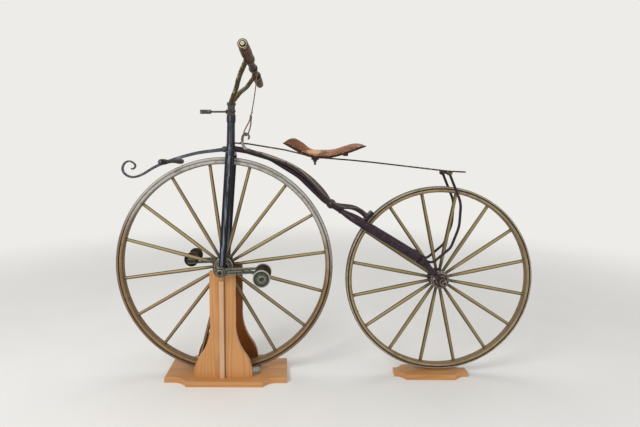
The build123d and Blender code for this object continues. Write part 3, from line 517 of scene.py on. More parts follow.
def lever_iron(name, colours):
    """The brake lever: dark iron, purple toward its pivot. Above its middle line, a polynomial of
    x, runs a painted highlight under a painted dark edge of shade. It fades on the hook and past the
    bend."""
    finish = Finish(name)
    x, _, z = finish.axes()
    line = 0.0
    for factor in np.polyfit(*(LEVER_LINE.T * MM), LEVER_POWER):
        line = line * x + float(factor)
    fine = finish.noise(110.0)
    long = finish.noise(160.0, 3.0, 0.5, finish.scaled((0.25, 1.0, 1.0)))
    behind = x.between(-0.2, -0.02)
    base = finish.mix(behind, colours.lever_iron, toned(colours.frame_paint, 1.3))
    scale = (fine * 0.6 + long * 0.4).between(0.36, 0.62)
    tone = finish.mix(scale, toned(colours.lever_iron, 0.35), base)
    hook = 1.0 - 0.5 * z.between(0.972, 0.986) - 0.35 * z.between(1.0, 1.015)
    # painted shade: a dark line along the lever's upper edge
    edge = (z - line).between(3.8 * MM, 6 * MM) * (1 - z.between(0.966, 0.976))
    # painted highlight: a light streak just above the middle line
    light = (z - line).between(0.5 * MM, 2.5 * MM) * (1 - 0.7 * edge) * hook
    light = light * (long * 0.5 + fine * 0.5).between(0.34, 0.48)
    light = light * (1.0 - 0.7 * x.between(-0.13, 0.05))
    return finish.surface(
        finish.mix(light * 0.9, tone, colours.lever_highlight), 0.4 + 0.25 * (fine - 0.5),
        0.1 + light * 0.3, fine * 0.5 + long * 0.3, 0.6 * MM, shine=0.15,
    )


def rim_tones(finish, end, low, upper):
    """What tyre and felloe share: the radius, streaks round the wheel, broad noise, how high the
    place is, and a tone. On the front wheel it goes from the low to the upper one as the wheel
    rises past its axle, the upper one a painted sheen of light from above; on the rear wheel
    the two tones lie in random blotches."""
    across, up, radius = finish.about(WHEELS[end].axle)
    streak = finish.rim_noise(radius, 9.0, 140.0, 5.0, 0.62)
    broad = finish.noise(5.0, 3.0, 0.5)
    if end == "front":
        # painted sheen: the front rim lighter above its axle, as light falls from above
        high = (up + (broad - 0.5) * 0.4 + across * 0.1).between(-0.05, 0.3)
    else:
        high = broad.between(0.35, 0.65) * 0.3
    return radius, streak, broad, high, finish.mix(high, low, upper)


def wheel_iron(end, low, upper, colours):
    """A tyre's iron: the wheel's tone with brown stains, a thin dark outer edge and a dark seam
    beside the felloe, painted shade of the gap with some grime.
    """
    finish = Finish(f"{end} tyre iron")
    wheel = WHEELS[end]
    radius, streak, broad, high, base = rim_tones(finish, end, low, upper)
    fine = finish.noise(170.0, 4.0)
    stain = (broad * 0.35 + fine * 0.35 + streak * 0.3).between(0.5, 0.58)
    grain = (1 - streak.between(0.34, 0.56)) * (1 - 0.5 * high)
    marked = (grain * 0.6).larger(stain * (0.75 - 0.2 * high))
    edge = radius.between(wheel.outer - 3 * MM, wheel.outer - 1.2 * MM)
    # painted shade of the gap beside the felloe, with some grime; less under the front's painted
    # sheen
    seam = 1 - radius.between(wheel.rim + 0.5 * MM, wheel.rim + 2.2 * MM)
    lines = (edge * 0.8).larger(seam * (0.9 - 0.3 * high))
    tone = finish.mix(lines, finish.mix(marked, base, colours.rim_stain_and_shade), colours.rim_line)
    rough = 0.42 + 0.3 * (fine - 0.5) + 0.15 * stain
    return finish.surface(tone, rough, 0.2 - 0.1 * stain, fine * 0.5 + streak * 0.4, 0.5 * MM)


def rim_wood(end, low, upper, colours):
    """A felloe's old painted wood: the wheel's tone, cracks along the grain, a very dark groove
    beside the tyre, painted shade in the gap with some grime, and painted shade in dark brown on
    its inner strip."""
    finish = Finish(f"{end} rim wood")
    wheel = WHEELS[end]
    radius, streak, _, high, base = rim_tones(finish, end, low, upper)
    crack = finish.rim_noise(radius, 7.0, 420.0, 2.0, 0.5)
    grain = (1 - streak.between(0.34, 0.58)) * (1 - 0.5 * high)
    split = 1 - crack.between(0.3, 0.37)
    blotch = finish.noise(45.0, 4.0).between(0.5, 0.62) * 0.4
    marked = (grain * 0.65).larger(split * 0.8).larger(blotch)
    # painted shade on the felloe's inner strip
    inner = 1 - radius.between(wheel.inner + 2.5 * MM, wheel.inner + 6 * MM)
    shaded = finish.mix(inner * 0.7, finish.mix(marked, base, colours.rim_stain_and_shade), colours.rim_stain_and_shade)
    # painted shade in the groove beside the tyre, with some grime; it fades under the front's painted
    # sheen
    groove = radius.between(wheel.rim - 5.5 * MM, wheel.rim - 3.5 * MM)
    fade = 0.65 if end == "front" else 0.0
    lined = finish.mix(groove * (0.95 - fade * high), shaded, colours.rim_line)
    rough = 0.5 + 0.25 * (streak - 0.5)
    return finish.surface(lined, rough, 0.0, streak * 0.5 - split * 0.25, 0.6 * MM, coat=0.12)


def spoke_paint(end, colours):
    """Spokes: streaks from noise in angle and radius about the axle. Faces that look up or outwards
    get a painted highlight, and faces that look down or along the wheel's plane get painted shade.
    The spokes are darker towards the tip, and dirt lies at the hub."""
    finish = Finish(f"{end} spoke paint")
    wheel = WHEELS[end]
    _, y, _ = finish.axes()
    _, outward, rise = finish.facing()
    across, up, radius = finish.about(wheel.axle)
    turn = up.maths("ARCTAN2", up, across)
    streak = finish.noise(1.0, 4.0, 0.6, finish.joined(turn * 55.0, radius * 7.0, y * 220.0))
    fine = finish.noise(240.0, 3.0, 0.5)
    if end == "front":
        behind = across.between(-0.06, 0.06)
        lower = finish.mix(behind, colours.spoke_red, colours.spoke_grey)
        base = finish.mix(1 - up.between(-0.08, 0.06), colours.spoke_wood, lower)
    else:
        base = finish.mottled(streak, 0.3, 0.6, colours.spoke_wood, 0.6, 0.85)
    tone = finish.mix(streak.between(0.32, 0.56), toned(colours.spoke_wood, 0.35), base)
    # painted highlight on the ridge that faces outwards and on faces that look up
    ridge = abs(outward).between(0.9, 0.99) * 0.3
    upper = rise.between(0.1, 0.5) * (1 - rise.between(0.7, 0.95)) * 0.7
    lit = finish.mix(ridge.larger(upper), tone, colours.spoke_highlight)
    # painted shade on the sides and on faces that look down
    side = 1 - abs(outward).between(0.6, 0.92)
    under = 1 - rise.between(-0.7, 0.0)
    sided = finish.mix((side * 0.85).larger(under * 0.6), lit, colours.spoke_shade_and_dirt)
    tip = radius.between(wheel.rim - 36 * MM, wheel.rim - 20 * MM)
    ended = finish.mix(tip * 0.45, sided, colours.spoke_shade_and_dirt)
    ragged = radius + (fine - 0.5) * 0.06 + (streak - 0.5) * 0.1
    root = 1 - ragged.between(wheel.hub + 2 * MM, wheel.hub + 70 * MM)
    rough = 0.46 + 0.3 * (fine - 0.5)
    tone = finish.mix(root * 0.85, ended, HUB_DIRT)
    return finish.surface(tone, rough, 0.0, streak * 0.5 + fine * 0.2, 0.4 * MM, coat=0.12)


def planed_pine(name, along, shift, pine, ring_colour, corner=None):
    """Varnished pine. The year rings are the level lines of a noise drawn out along the grain, and
    finer noise drawn out further makes the fibres. Faces that look up are duller. A corner is
    (x, from, to): painted shade on both sides of x, the batten's cast shadow, less on the far side."""
    finish = Finish(name)
    drawn, thin = ([factor if k == along else 1.0 for k in range(3)] for factor in (0.06, 0.02))
    rings = finish.noise(7.0, 1.0, 0.4, finish.scaled(drawn, shift))
    wobble = finish.noise(60.0, 2.0, 0.5, finish.scaled(drawn))
    late = (rings * 170.0 + wobble * 3.0).sine().between(0.1, 0.95)
    fibre = finish.noise(900.0, 2.0, 0.7, finish.scaled(thin))
    tone = finish.mix(late * 0.5 + (fibre - 0.5) * 0.5, pine, ring_colour)
    dull = finish.noise(4.0, 2.0, 0.5).between(0.4, 0.7) * 0.25
    aged = finish.mix(dull, tone, toned(ring_colour, 0.7))
    _, _, rise = finish.facing()
    aged = finish.mix(rise.between(0.6, 0.95) * 0.4, aged, toned(ring_colour, 0.75))
    if corner:
        x, _, _ = finish.axes()
        place, start, end = corner
        # painted shadow of the batten on the post
        near = (x - place).band(start, end, 1.5 * MM)
        far = (x - place).band(2 * MM - end, -start, 1.5 * MM)
        aged = finish.mix((near + far * 0.5) * 0.6, aged, BATTEN_SHADOW_TONE)
    rough = 0.38 + 0.2 * (fibre - 0.5)
    return finish.surface(aged, rough, 0.0, late * 0.2 + fibre * 0.3, 0.25 * MM, coat=0.2)


def turned_grip(name, dark, light):
    """Dark turned wood whose grain runs along the bar, worn lighter where hands hold it."""
    finish = Finish(name)
    grain = finish.noise(190.0, 4.0, 0.6, finish.scaled((1.0, 0.06, 1.0)))
    worn = (grain * 0.6 + finish.noise(22.0, 3.0, 0.5) * 0.4).between(0.48, 0.62)
    pores = grain.between(0.42, 0.3)
    deep = finish.mix(pores, finish.mix(worn, dark, light), toned(dark, 0.4))
    return finish.surface(deep, 0.42 + 0.3 * (grain - 0.5), 0.0, grain, 0.4 * MM, shine=0.06)


# where the saddle is pale, a painted highlight on the flank, partly rubbed wear: an ellipse's middle
# and half lengths along X and Z, in metres
PALE_SPOT = (-0.046, 0.962)
PALE_REACH = (0.04, 0.012)


def saddle_hide(name, colours):
    """Old saddle leather: pebble grain from small cells, streaks along the flanks and creases from
    drawn out noise, and one pale spot on the narrow part, a painted highlight, partly rubbed wear.
    Faces that look down or sideways get painted shade."""
    finish = Finish(name)
    x, _, z = finish.axes()
    _, _, rise = finish.facing()
    broad = finish.noise(16.0, 4.0, 0.5)
    fine = finish.noise(120.0)
    both_noises = broad * 0.5 + fine * 0.5
    flank = finish.noise(70.0, 3.0, 0.5, finish.scaled((0.12, 0.4, 1.0)))
    crease = finish.noise(85.0, 3.0, 0.5, finish.scaled((1.0, 0.35, 1.0)))
    fold = abs(crease - 0.5).between(0.0, 0.03)
    pebble = finish.cells(420.0).between(0.0, 0.18)
    off_x, off_z = (x - PALE_SPOT[0]) / PALE_REACH[0], (z - PALE_SPOT[1]) / PALE_REACH[1]
    off = (off_x * off_x + off_z * off_z) ** 0.5 + (fine - 0.5) * 0.8
    tone = finish.mottled(both_noises, 0.38, 0.58, colours.leather, 0.55)
    for share, colour in (
        (flank.between(0.53, 0.6) * 0.75, colours.leather_dark),
        (both_noises.between(0.54, 0.64) * 0.6, colours.leather_worn_and_sheen),
        # painted highlight, partly rubbed wear, in the pale spot
        ((1 - off.between(0.5, 1.1)) * 0.8, colours.leather_worn_and_sheen),
        ((1 - fold) * 0.7, colours.leather_dark),
        # painted shade on faces that look down or sideways
        ((1 - rise.between(-0.1, 0.3)) * 0.85, toned(colours.leather_dark, 0.6)),
    ):
        tone = finish.mix(share, tone, colour)
    height = pebble * 0.25 + fold * 0.3 + broad * 0.6
    return finish.surface(tone, 0.42 + 0.35 * (fine - 0.4), 0.0, height, 0.7 * MM, shine=0.25)


def twisted_hemp(name, colour):
    """Cord fibre with a fine fuzz of light and dark."""
    finish = Finish(name)
    fine = finish.noise(900.0, 3.0, 0.7)
    return finish.surface(
        finish.mottled(fine, 0.35, 0.65, colour, 0.45), 0.85, 0.0, fine, 0.3 * MM
    )


def pedal_finish(name, node, face, ring, core):
    """A pedal about its pin: a rubbed rim, a groove darkened with painted shade, a grey face and a
    bright middle on the outer end, over turning marks; the bobbin between the ends is dark."""
    finish = Finish(name)
    centre = middle(node)
    side = float(np.sign(centre[1]))
    outer_y = float(np.abs(corners(node))[:, 1].max())
    _, y, _ = finish.axes()
    _, _, radius = finish.about(centre)
    outward = y * side
    end = outward.between(outer_y - 9 * MM, outer_y - 7 * MM)
    inner_end = 1 - outward.between(outer_y - 95 * MM, outer_y - 93 * MM)
    shown = end.larger(inner_end * 0.5)
    fine = finish.noise(150.0)
    light = finish.rings(radius, [(29, 34), (0, 14)])
    # painted shade in the groove
    dark = finish.rings(radius, [(23.5, 28)])
    lit = finish.mix(light * 0.8, finish.mottled(fine, 0.36, 0.6, face, 0.5), ring)
    grooved = finish.mix(dark * 0.85, lit, toned(face, 0.25))
    return finish.surface(
        finish.mix(shown, finish.mottled(fine, 0.4, 0.6, core, 0.5, 1.3), grooved),
        0.44 - 0.1 * shown + 0.2 * (fine - 0.5), shown * 0.4,
        (radius * 2600.0).sine() * 0.04 + fine * 0.4, 0.6 * MM, shine=0.15,
    )


# shapes, as points on a grid and the faces between them

def cells_of(rows, columns, loop_rows=False):
    """The quads of a grid of points. Its last column joins its first, and so do its rows where
    they loop."""
    i, j = np.meshgrid(
        np.arange(rows if loop_rows else rows - 1), np.arange(columns), indexing="ij"
    )
    below, beside = (i + 1) % rows, (j + 1) % columns
    quad = [i * columns + j, below * columns + j, below * columns + beside, i * columns + beside]
    return np.stack(quad, axis=-1).reshape(-1, 4)


def fan(tip, first, count, turned=False):
    """The triangles from one point to a ring of points, whose first point is given."""
    here = np.arange(count)
    after = (here + 1) % count
    edge = (after, here) if turned else (here, after)
    return np.stack([np.full(count, tip), first + edge[0], first + edge[1]], axis=-1)


def closed_rings(rings):
    """A solid through rings of points, of shape (rings, columns, 3), each end closed by a fan round
    its middle."""
    count, columns = rings.shape[:2]
    points = np.concatenate([rings.reshape(-1, 3), rings[:1].mean(axis=1), rings[-1:].mean(axis=1)])
    tip = count * columns
    ends = fan(tip, 0, columns), fan(tip + 1, tip - columns, columns, turned=True)
    return points, [cells_of(count, columns), *ends]


def looped_rings(rings):
    """A solid through rings of points whose last ring joins the first, as in a torus."""
    return rings.reshape(-1, 3), [cells_of(*rings.shape[:2], loop_rows=True)]


def unit(vector):
    """Vectors made one long."""
    vector = np.array(vector, float)
    return vector / np.linalg.norm(vector, axis=-1, keepdims=True)


def circle(columns):
    """The cosines and sines of equal steps round a circle."""
    turn = np.linspace(0, 2 * np.pi, columns, endpoint=False)
    return np.cos(turn)[:, None], np.sin(turn)[:, None]


def beside_and_above(path, hint):
    """Unit vectors beside a path and above it. Beside is the path's direction crossed with the
    hint."""
    along = unit(np.gradient(path, axis=0))
    beside = unit(np.cross(along, hint))
    return beside, np.cross(beside, along)


def swept(path, hint, radius, columns):
    """Rings of a round bar along a path: each is a circle of that radius across the path."""
    beside, above = beside_and_above(path, hint)
    cosine, sine = circle(columns)
    return path[:, None] + radius * (cosine * beside[:, None] + sine * above[:, None])


def crosswise(along):
    """Two unit vectors at right angles to a direction and to each other."""
    first = unit(np.cross(along, Y_AXIS if abs(along[1]) < 0.9 else X_AXIS))
    return first, np.cross(along, first)


def lathed(profile, centre, along, columns=24):
    """Rings of a turned solid: each (radius, distance) of the profile, in mm, goes round."""
    along = unit(along)
    first, second = crosswise(along)
    cosine, sine = circle(columns)
    profile = np.array(profile, float)[:, :, None, None] * MM
    return centre + profile[:, 1] * along + profile[:, 0] * (cosine * first + sine * second)


def nut(centre, along, radius, high):
    """A six sided nut on a round washer, with a domed bolt end, from its seat outwards, in mm."""
    washer = [(radius * 1.3, 0), (radius * 1.3, 0.8), (radius * 1.2, 1.1)]
    sides = [(radius, 1), (radius, 0.85 * high), (0.88 * radius, high)]
    bolt = [(0.5 * radius, 1), (0.5 * radius, high + 1.2), (0.3 * radius, high + 2)]
    profiles = ((washer, 24), (sides, 6), (bolt, 24))
    return together([closed_rings(lathed(line, centre, along, n)) for line, n in profiles])


def rivet(centre, along, radius, high):
    """A domed head: radius times the cosine and height times the sine of an angle up to 80 degrees,
    on a rim of 0.15 of the height."""
    rise = np.radians(np.linspace(0, 80, 7))
    dome = np.stack([radius * np.cos(rise), high * (0.15 + 0.85 * np.sin(rise))], axis=-1)
    return closed_rings(lathed([(radius, -0.3), *dome], centre, along, 20))


def collar(centre, along, inner, outer, long):
    """A hollow ring with eased edges, in mm."""
    ease = 0.5
    outside = [(outer - ease, 0), (outer, ease), (outer, long - ease), (outer - ease, long)]
    return looped_rings(lathed([(inner, 0), *outside, (inner, long)], centre, along, 36))


def slotted(centre, along, across, radius, high):
    """A slotted screw head. It is a row of slices across the slot: a slice at u is a chord of the
    disc, its upper side the dome high * (1 - 0.5 (u2 + v2) / r2), lowered where u lies in the
    slot."""
    along, across = unit(along), unit(across)
    slot = 0.13 * radius
    edges = [-slot, -slot * 1.02, slot, slot * 1.02]
    u = np.sort([*(0.999 * radius * np.cos(np.linspace(0, np.pi, 12))), *edges])[:, None]
    v = np.sqrt(radius ** 2 - u ** 2) * np.linspace(-1, 1, 13)
    top = high * (1 - 0.5 * (u ** 2 + v ** 2) / radius ** 2) - (np.abs(u) <= slot) * 0.45 * high
    loop_v = np.concatenate([v, v[:, ::-1]], axis=1)[..., None]
    loop_h = np.concatenate([top, np.full_like(v, -0.3)], axis=1)[..., None]
    rings = u[..., None] * across + loop_v * np.cross(along, across) + loop_h * along
    return closed_rings(centre + rings * MM)


def together(solids):
    """Several solids as one set of points and faces."""
    points, faces, offset = [], [], 0
    for solid in solids:
        solid_points, solid_faces = facing_out(solid)
        points.append(solid_points)
        faces += [group + offset for group in solid_faces]
        offset += len(solid_points)
    return np.concatenate(points), faces


def signed_volume(points, faces):
    """Six times the volume that the faces close, which is negative where they point inwards."""
    total = 0.0
    points = points - points.mean(axis=0)
    for group in faces:
        for k in range(1, group.shape[1] - 1):
            a, b, c = points[group[:, 0]], points[group[:, k]], points[group[:, k + 1]]
            total += np.einsum("ij,ij->", a, np.cross(b, c))
    return total


def facing_out(solid):
    """The solid with its faces turned over if they point inwards."""
    points, faces = solid
    if signed_volume(points, faces) < 0:
        faces = [group[:, ::-1] for group in faces]
    return points, faces


def piece(name, solid, material, body=None, crease=38):
    """Put a solid into a new object, smooth but for edges sharper than the crease angle."""
    points, faces = facing_out(solid)
    loops = np.concatenate([group.ravel() for group in faces]).astype(np.int32)
    sides = np.concatenate([np.full(len(group), group.shape[1]) for group in faces])
    mesh = bpy.data.meshes.new(name)
    mesh.vertices.add(len(points))
    mesh.vertices.foreach_set("co", points.astype(np.float32).ravel())
    mesh.loops.add(len(loops))
    mesh.loops.foreach_set("vertex_index", loops)
    mesh.polygons.add(len(sides))
    mesh.polygons.foreach_set("loop_start", (np.cumsum(sides) - sides).astype(np.int32))
    mesh.update(calc_edges=True)
    mesh.validate()
    mesh.shade_smooth()
    mesh.set_sharp_from_angle(angle=math.radians(crease))
    mesh.materials.append(material)
    made = bpy.data.objects.new(name, mesh)
    bpy.context.scene.collection.objects.link(made)
    if body:
        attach(made, body)
    return made


def dress(material, *nodes):
    """Give nodes of the frame a finish."""
    for name in nodes:
        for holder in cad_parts[name].material_slots:
            holder.material = material


def both(*stems):
    """The left and right node of each stem."""
    return [f"{stem}_{side}" for stem in stems for side in SIDES]


# the saddle

# x, the height of the seat's foot and of its ridge, and its half width, in mm
SADDLE_SECTIONS = np.array([
    (-166, 998, 1004, 11), (-150, 989.5, 1015, 24), (-125, 975, 1020, 29), (-95, 958, 1006, 33),
    (-55, 944, 977, 43), (-5, 938.5, 972, 62), (45, 946, 975, 79), (90, 959, 989, 90),
    (128, 973, 998, 90), (152, 982, 995, 78), (166, 985, 989, 50),
], float)
# how high the underside arches and how far both ends round off, in mm
SADDLE_ARCH = 9
LIP_ROUND = 4
SEAT_POWER = 2.5
# points along one side of the lines round the seat, and where welt, stitches and rivets lie: shares
# of the seat's height, and distances outwards in mm
EDGE_STATIONS = 160
WELT_AT, STITCHES_AT, RIVETS_AT = (0.06, 0.0), (0.3, 0.2), (0.16, 0.4)
WELT_RADIUS = 2.6
RIVETS_A_SIDE = 9


def flowing(at, values, x):
    """A smooth line through values: a cubic from each to the next, whose slope at a station is
    that of the line between the stations on both sides of it."""
    slope = np.gradient(values, at)
    k = np.clip(np.searchsorted(at, x) - 1, 0, len(at) - 2)
    gap = at[k + 1] - at[k]
    t = (x - at[k]) / gap
    start = values[k] * (1 + 2 * t) + slope[k] * gap * t
    end = values[k + 1] * (3 - 2 * t) + slope[k + 1] * gap * (t - 1)
    return start * (1 - t) ** 2 + end * t ** 2


def seat_lines(x):
    """Foot height, ridge height, half width and arch of the seat at x. Past the first and last
    section the width and height close along a quarter ellipse."""
    at = SADDLE_SECTIONS[:, 0]
    inside = np.clip(x, at[0], at[-1])
    foot, ridge, half = (flowing(at, SADDLE_SECTIONS[:, k], inside) for k in (1, 2, 3))
    closing = np.sqrt(np.clip(1 - (np.abs(x - inside) / LIP_ROUND) ** 2, 1e-4, 1))
    high = (ridge - foot) * closing
    return foot, foot + high, half * closing, np.minimum(SADDLE_ARCH, high / 3)


def seat_stations(rows):
    """Places along the seat, close together at both ends."""
    low, high = SADDLE_SECTIONS[0, 0] - LIP_ROUND, SADDLE_SECTIONS[-1, 0] + LIP_ROUND
    return low + (high - low) * (1 - np.cos(np.linspace(0, np.pi, rows))) / 2


def saddle_rings(rows, columns):
    """The padded seat: each section's upper side is the curve |y/half|^2.5 + (z/high)^2.5 = 1,
    drawn from the right edge over the ridge to the left, and its underside is a low parabola."""
    x = seat_stations(rows)
    foot, ridge, half, arch = (line[:, None] for line in seat_lines(x))
    turn = np.linspace(0, np.pi, columns)[None, :]
    power = 2 / SEAT_POWER
    over_y = half * np.sign(np.cos(turn)) * np.abs(np.cos(turn)) ** power
    over_z = foot + (ridge - foot) * np.abs(np.sin(turn)) ** power
    back = np.linspace(-1, 1, columns)[None, 1:-1]
    across = np.concatenate([over_y, half * back], axis=1)
    height = np.concatenate([over_z, foot + arch * (1 - back ** 2)], axis=1)
    return np.stack([np.broadcast_to(x[:, None], height.shape), across, height], axis=-1) * MM


def seat_edge(rise, out):
    """A closed line round the seat at a share of its height, moved outwards in mm, in metres."""
    x = seat_stations(EDGE_STATIONS)
    foot, ridge, half, _ = seat_lines(x)
    wide = half * (1 - rise ** SEAT_POWER) ** (1 / SEAT_POWER) + out
    line = np.stack([x, -wide, foot + rise * (ridge - foot)], axis=-1)
    return np.concatenate([line, line[::-1] * [1, -1, 1]]) * MM


def stitches(loop, pitch, long):
    """Short bars end to end along a closed line, with a gap after each. Each is four rings of
    eight points that shrink to both ends."""
    path, _ = paced(loop, pitch / 2)
    profile = [(0.25, -0.5), (0.65, -0.38), (0.65, 0.38), (0.25, 0.5)]
    bar = [(radius, share * long / MM) for radius, share in profile]
    starts = range(1, len(path) - 2, 2)
    return together([closed_rings(lathed(bar, path[k], path[k + 1] - path[k], 8)) for k in starts])


class VELOCIPEDE_OT_saddle(Operator):
    """Make the padded leather saddle with its welt, stitches and rivets"""

    bl_idname = "velocipede.saddle"
    bl_label = "Leather saddle"

    def execute(self, context):
        colours = context.scene.velocipede_colours
        sizes = context.scene.velocipede_sizes
        seat = piece(
            "saddle_seat", closed_rings(saddle_rings(sizes.saddle_rows, sizes.saddle_columns)),
            saddle_hide("saddle leather", colours), "frame", crease=60,
        )
        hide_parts("saddle")

        # the welt's direction at its start and end comes from three points past them
        edge = seat_edge(*WELT_AT)
        lapped = np.concatenate([edge[-3:], edge, edge[:3]])
        welt = looped_rings(swept(lapped, Z_AXIS, WELT_RADIUS * MM, 10)[3:-3])
        # the welt is very dark: partly painted shade of the line under the seat's edge
        dark = toned(colours.leather_dark, 0.5), colours.leather_dark
        hide = turned_grip("saddle welt leather", *dark)
        piece("saddle_welt", welt, hide, "frame")
        seam = stitches(seat_edge(*STITCHES_AT), sizes.stitch_pitch, sizes.stitch_length)
        thread = twisted_hemp("waxed thread", colours.thread)
        piece("saddle_stitches", seam, thread, "frame")

        # rivets through the leather into the pan, along both flanks
        rim = seat_edge(*RIVETS_AT)
        count = len(rim) // 2
        places = [
            rim[int(k * count) + side * count]
            for side in (0, 1) for k in np.linspace(0.12, 0.94, RIVETS_A_SIDE)
        ]
        rivets = [rivet(place, place * Y_AXIS + Z_AXIS * 10 * MM, 2.6, 1.4) for place in places]
        metal = toned(colours.fitting_bright, 0.5), colours.fitting_bright
        dull = worn_iron("saddle rivet metal", *metal, wear=0.9)
        piece("saddle_rivets", together(rivets), dull, "frame")
        return {"FINISHED"}


# the brake cord

# the run from the winding down to the loop on the lever's hook, the loop and its loose end, in mm
CORD_RUN = [(-281.5, -5, 1291), (-282.5, -5, 1268), (-291, -8, 1190), (-306, -21, 1104)]
CORD_LOOP = [
    (-306.5, -22, 1103), (-310, -27, 1092), (-326, -32, 1060), (-336, -32, 1040),
    (-329, -26, 1029), (-320, -18, 1032), (-313, -17, 1050), (-305, -17, 1080), (-305, -21, 1098),
]
CORD_TAIL = [(-307, -24, 1100), (-310, -28, 1108), (-301, -28, 1122), (-297, -24, 1128)]
# a direction that crosses the plane of the loop
LOOP_ACROSS = (0.3, 1, 0.1)
# the winding's radius about the bar and half its length, in mm
COIL_R = 16.5
COIL_HALF = 5.2
# the thread that closes the loop: its middle and direction, its radius about the cord, its rise a
# turn and its own radius, in mm
WHIPPING = (-306, -21.5, 1102)
WHIPPING_ALONG = (0.17, 0.1, 1)
WHIPPING_R = 4.4
WHIPPING_RISE = 1.6
WHIPPING_THREAD = 0.8
WHIPPING_TURNS = 9


def smooth_route(route, name):
    """The points that a NURBS curve of order 3 gives for a route in mm, in metres."""
    curve = bpy.data.curves.new(name, "CURVE")
    curve.dimensions = "3D"
    spline = curve.splines.new("NURBS")
    spline.points.add(len(route) - 1)
    points = np.array([(*p, 1000.0) for p in route], np.float32).ravel() * np.float32(MM)
    spline.points.foreach_set("co", points)
    spline.order_u = 3
    spline.use_endpoint_u = True
    spline.resolution_u = 24
    holder = bpy.data.objects.new(name, curve)
    bpy.context.scene.collection.objects.link(holder)
    mesh = bpy.data.meshes.new_from_object(holder)
    points = np.array([v.co for v in mesh.vertices], float)
    bpy.data.objects.remove(holder)
    bpy.data.curves.remove(curve)
    return points


def paced(path, step):
    """A path's points again, evenly spaced, with each one's distance from the start."""
    steps = np.linalg.norm(np.diff(path, axis=0), axis=1)
    lengths = np.concatenate([[0], np.cumsum(steps)])
    marks = np.linspace(0, lengths[-1], max(8, int(lengths[-1] / step)))
    return np.stack([np.interp(marks, lengths, path[:, k]) for k in range(3)], axis=-1), marks


def two_strands(path, strand, lay, hint=Y_AXIS):
    """Two round strands that go round each other: each one's middle is off the path by 0.85 of the
    strand's radius, at an angle that grows by a full turn in each lay."""
    path, marks = paced(path, lay / 14)
    beside, above = beside_and_above(path, hint)
    solids = []
    for half in (0, np.pi):
        angle = (2 * np.pi * marks / lay + half)[:, None]
        line = path + 0.85 * strand * (np.cos(angle) * beside + np.sin(angle) * above)
        solids.append(closed_rings(swept(line, hint, strand, 8)))
    return together(solids)


def coil(centre, turns):
    """A helix round the bar. It ends at the bar's rear on its way down, where the run leaves it."""
    share = np.linspace(0, 1, 60 * turns)
    angle = 2 * np.pi * turns * (1 - share)
    y = COIL_HALF - 2 * COIL_HALF * share
    return centre + np.stack([COIL_R * np.cos(angle), y, COIL_R * np.sin(angle)], axis=-1) * MM


def whipping():
    """A helix of thin thread round the cord's joint."""
    along = unit(WHIPPING_ALONG)
    first, second = crosswise(along)
    share = np.linspace(-0.5, 0.5, 24 * WHIPPING_TURNS)[:, None]
    angle = 2 * np.pi * WHIPPING_TURNS * share
    off = WHIPPING_R * (np.cos(angle) * first + np.sin(angle) * second)
    line = (np.array(WHIPPING) + WHIPPING_RISE * WHIPPING_TURNS * share * along + off) * MM
    return closed_rings(swept(line, along, WHIPPING_THREAD * MM, 8))


class VELOCIPEDE_OT_brake_cord(Operator):
    """Make the twisted brake cord, its winding on the bar, its loop and its loose end"""

    bl_idname = "velocipede.brake_cord"
    bl_label = "Brake cord"

    def execute(self, context):
        sizes = context.scene.velocipede_sizes
        strand, lay = sizes.strand, sizes.lay
        hemp = twisted_hemp("cord fibre", context.scene.velocipede_colours.cord)
        winding = coil(middle("handlebar") * [1, 0, 1], sizes.coil_turns)
        coils = piece("cord_coils", two_strands(winding, strand, lay), hemp, "steering")
        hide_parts("cord_winding")

        path = np.concatenate([winding[-1:], smooth_route(CORD_RUN, "brake_cord_line")])
        cord = piece("brake_cord_twist", two_strands(path, strand, lay), hemp)
        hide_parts("brake_cord")
        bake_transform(cord)

        loop = smooth_route(CORD_LOOP, "cord_loop_line")
        tail = smooth_route(CORD_TAIL, "cord_tail_line")
        lower = [
            two_strands(loop, 1.25 * strand, lay, unit(LOOP_ACROSS)),
            two_strands(tail, 0.8 * strand, lay),
            whipping(),
        ]
        piece("cord_loop", together(lower), hemp, "frame")
        return {"FINISHED"}


# nuts, screws, pins and ferrules

# each hub's oil screw: its angle about the axle in degrees; its distance from the axle and from the
# wheel's plane in mm; its radius and height in mm
OIL_SCREWS = {"front": 118, "rear": 167}
OIL_SCREW_AT = (27, 31.5)
OIL_SCREW_SIZE = (4.2, 3)
# the cotters that hold the cranks: their place from the axle in mm, and their lean
COTTER_AT = (9.5, 103, 18.5)
COTTER_LEAN = (0.46, 0, 0.89)
# the spring's rivets, at its front end and near its rear end, and the legs' side screws, in mm
SPRING_FRONT_RIVETS = (-350, 9)
SPRING_REAR_RIVET = 575
LEG_SCREW = (405, 71, 513)
# from the middle of the stays' bolt and of the brake's pivot to the nut's seat, in mm
STAY_NUT, PIVOT_NUT = 44.4, 12
# inner and outer radius and length of the ferrules at a grip's inner and outer end, in mm
GRIP_FERRULES = ((14, 18.6, 5), (13, 17.6, 5.4))


def wheel_pins(wheel):
    """The pins that hold a tyre, each between two spokes: a flat head on the tyre and its riveted
    end on the felloe's inner side."""
    solids = []
    for k in range(0, SPOKES, 2):
        angle = math.pi / 2 - wheel.first_spoke + (k + 0.5) * 2 * math.pi / SPOKES
        out = np.array([math.cos(angle), 0, math.sin(angle)])
        solids.append(rivet(wheel.axle + out * (wheel.outer - 0.3 * MM), out, 5, 0.9))
        solids.append(rivet(wheel.axle + out * wheel.inner, -out, 4, 1.4))
    return together(solids)


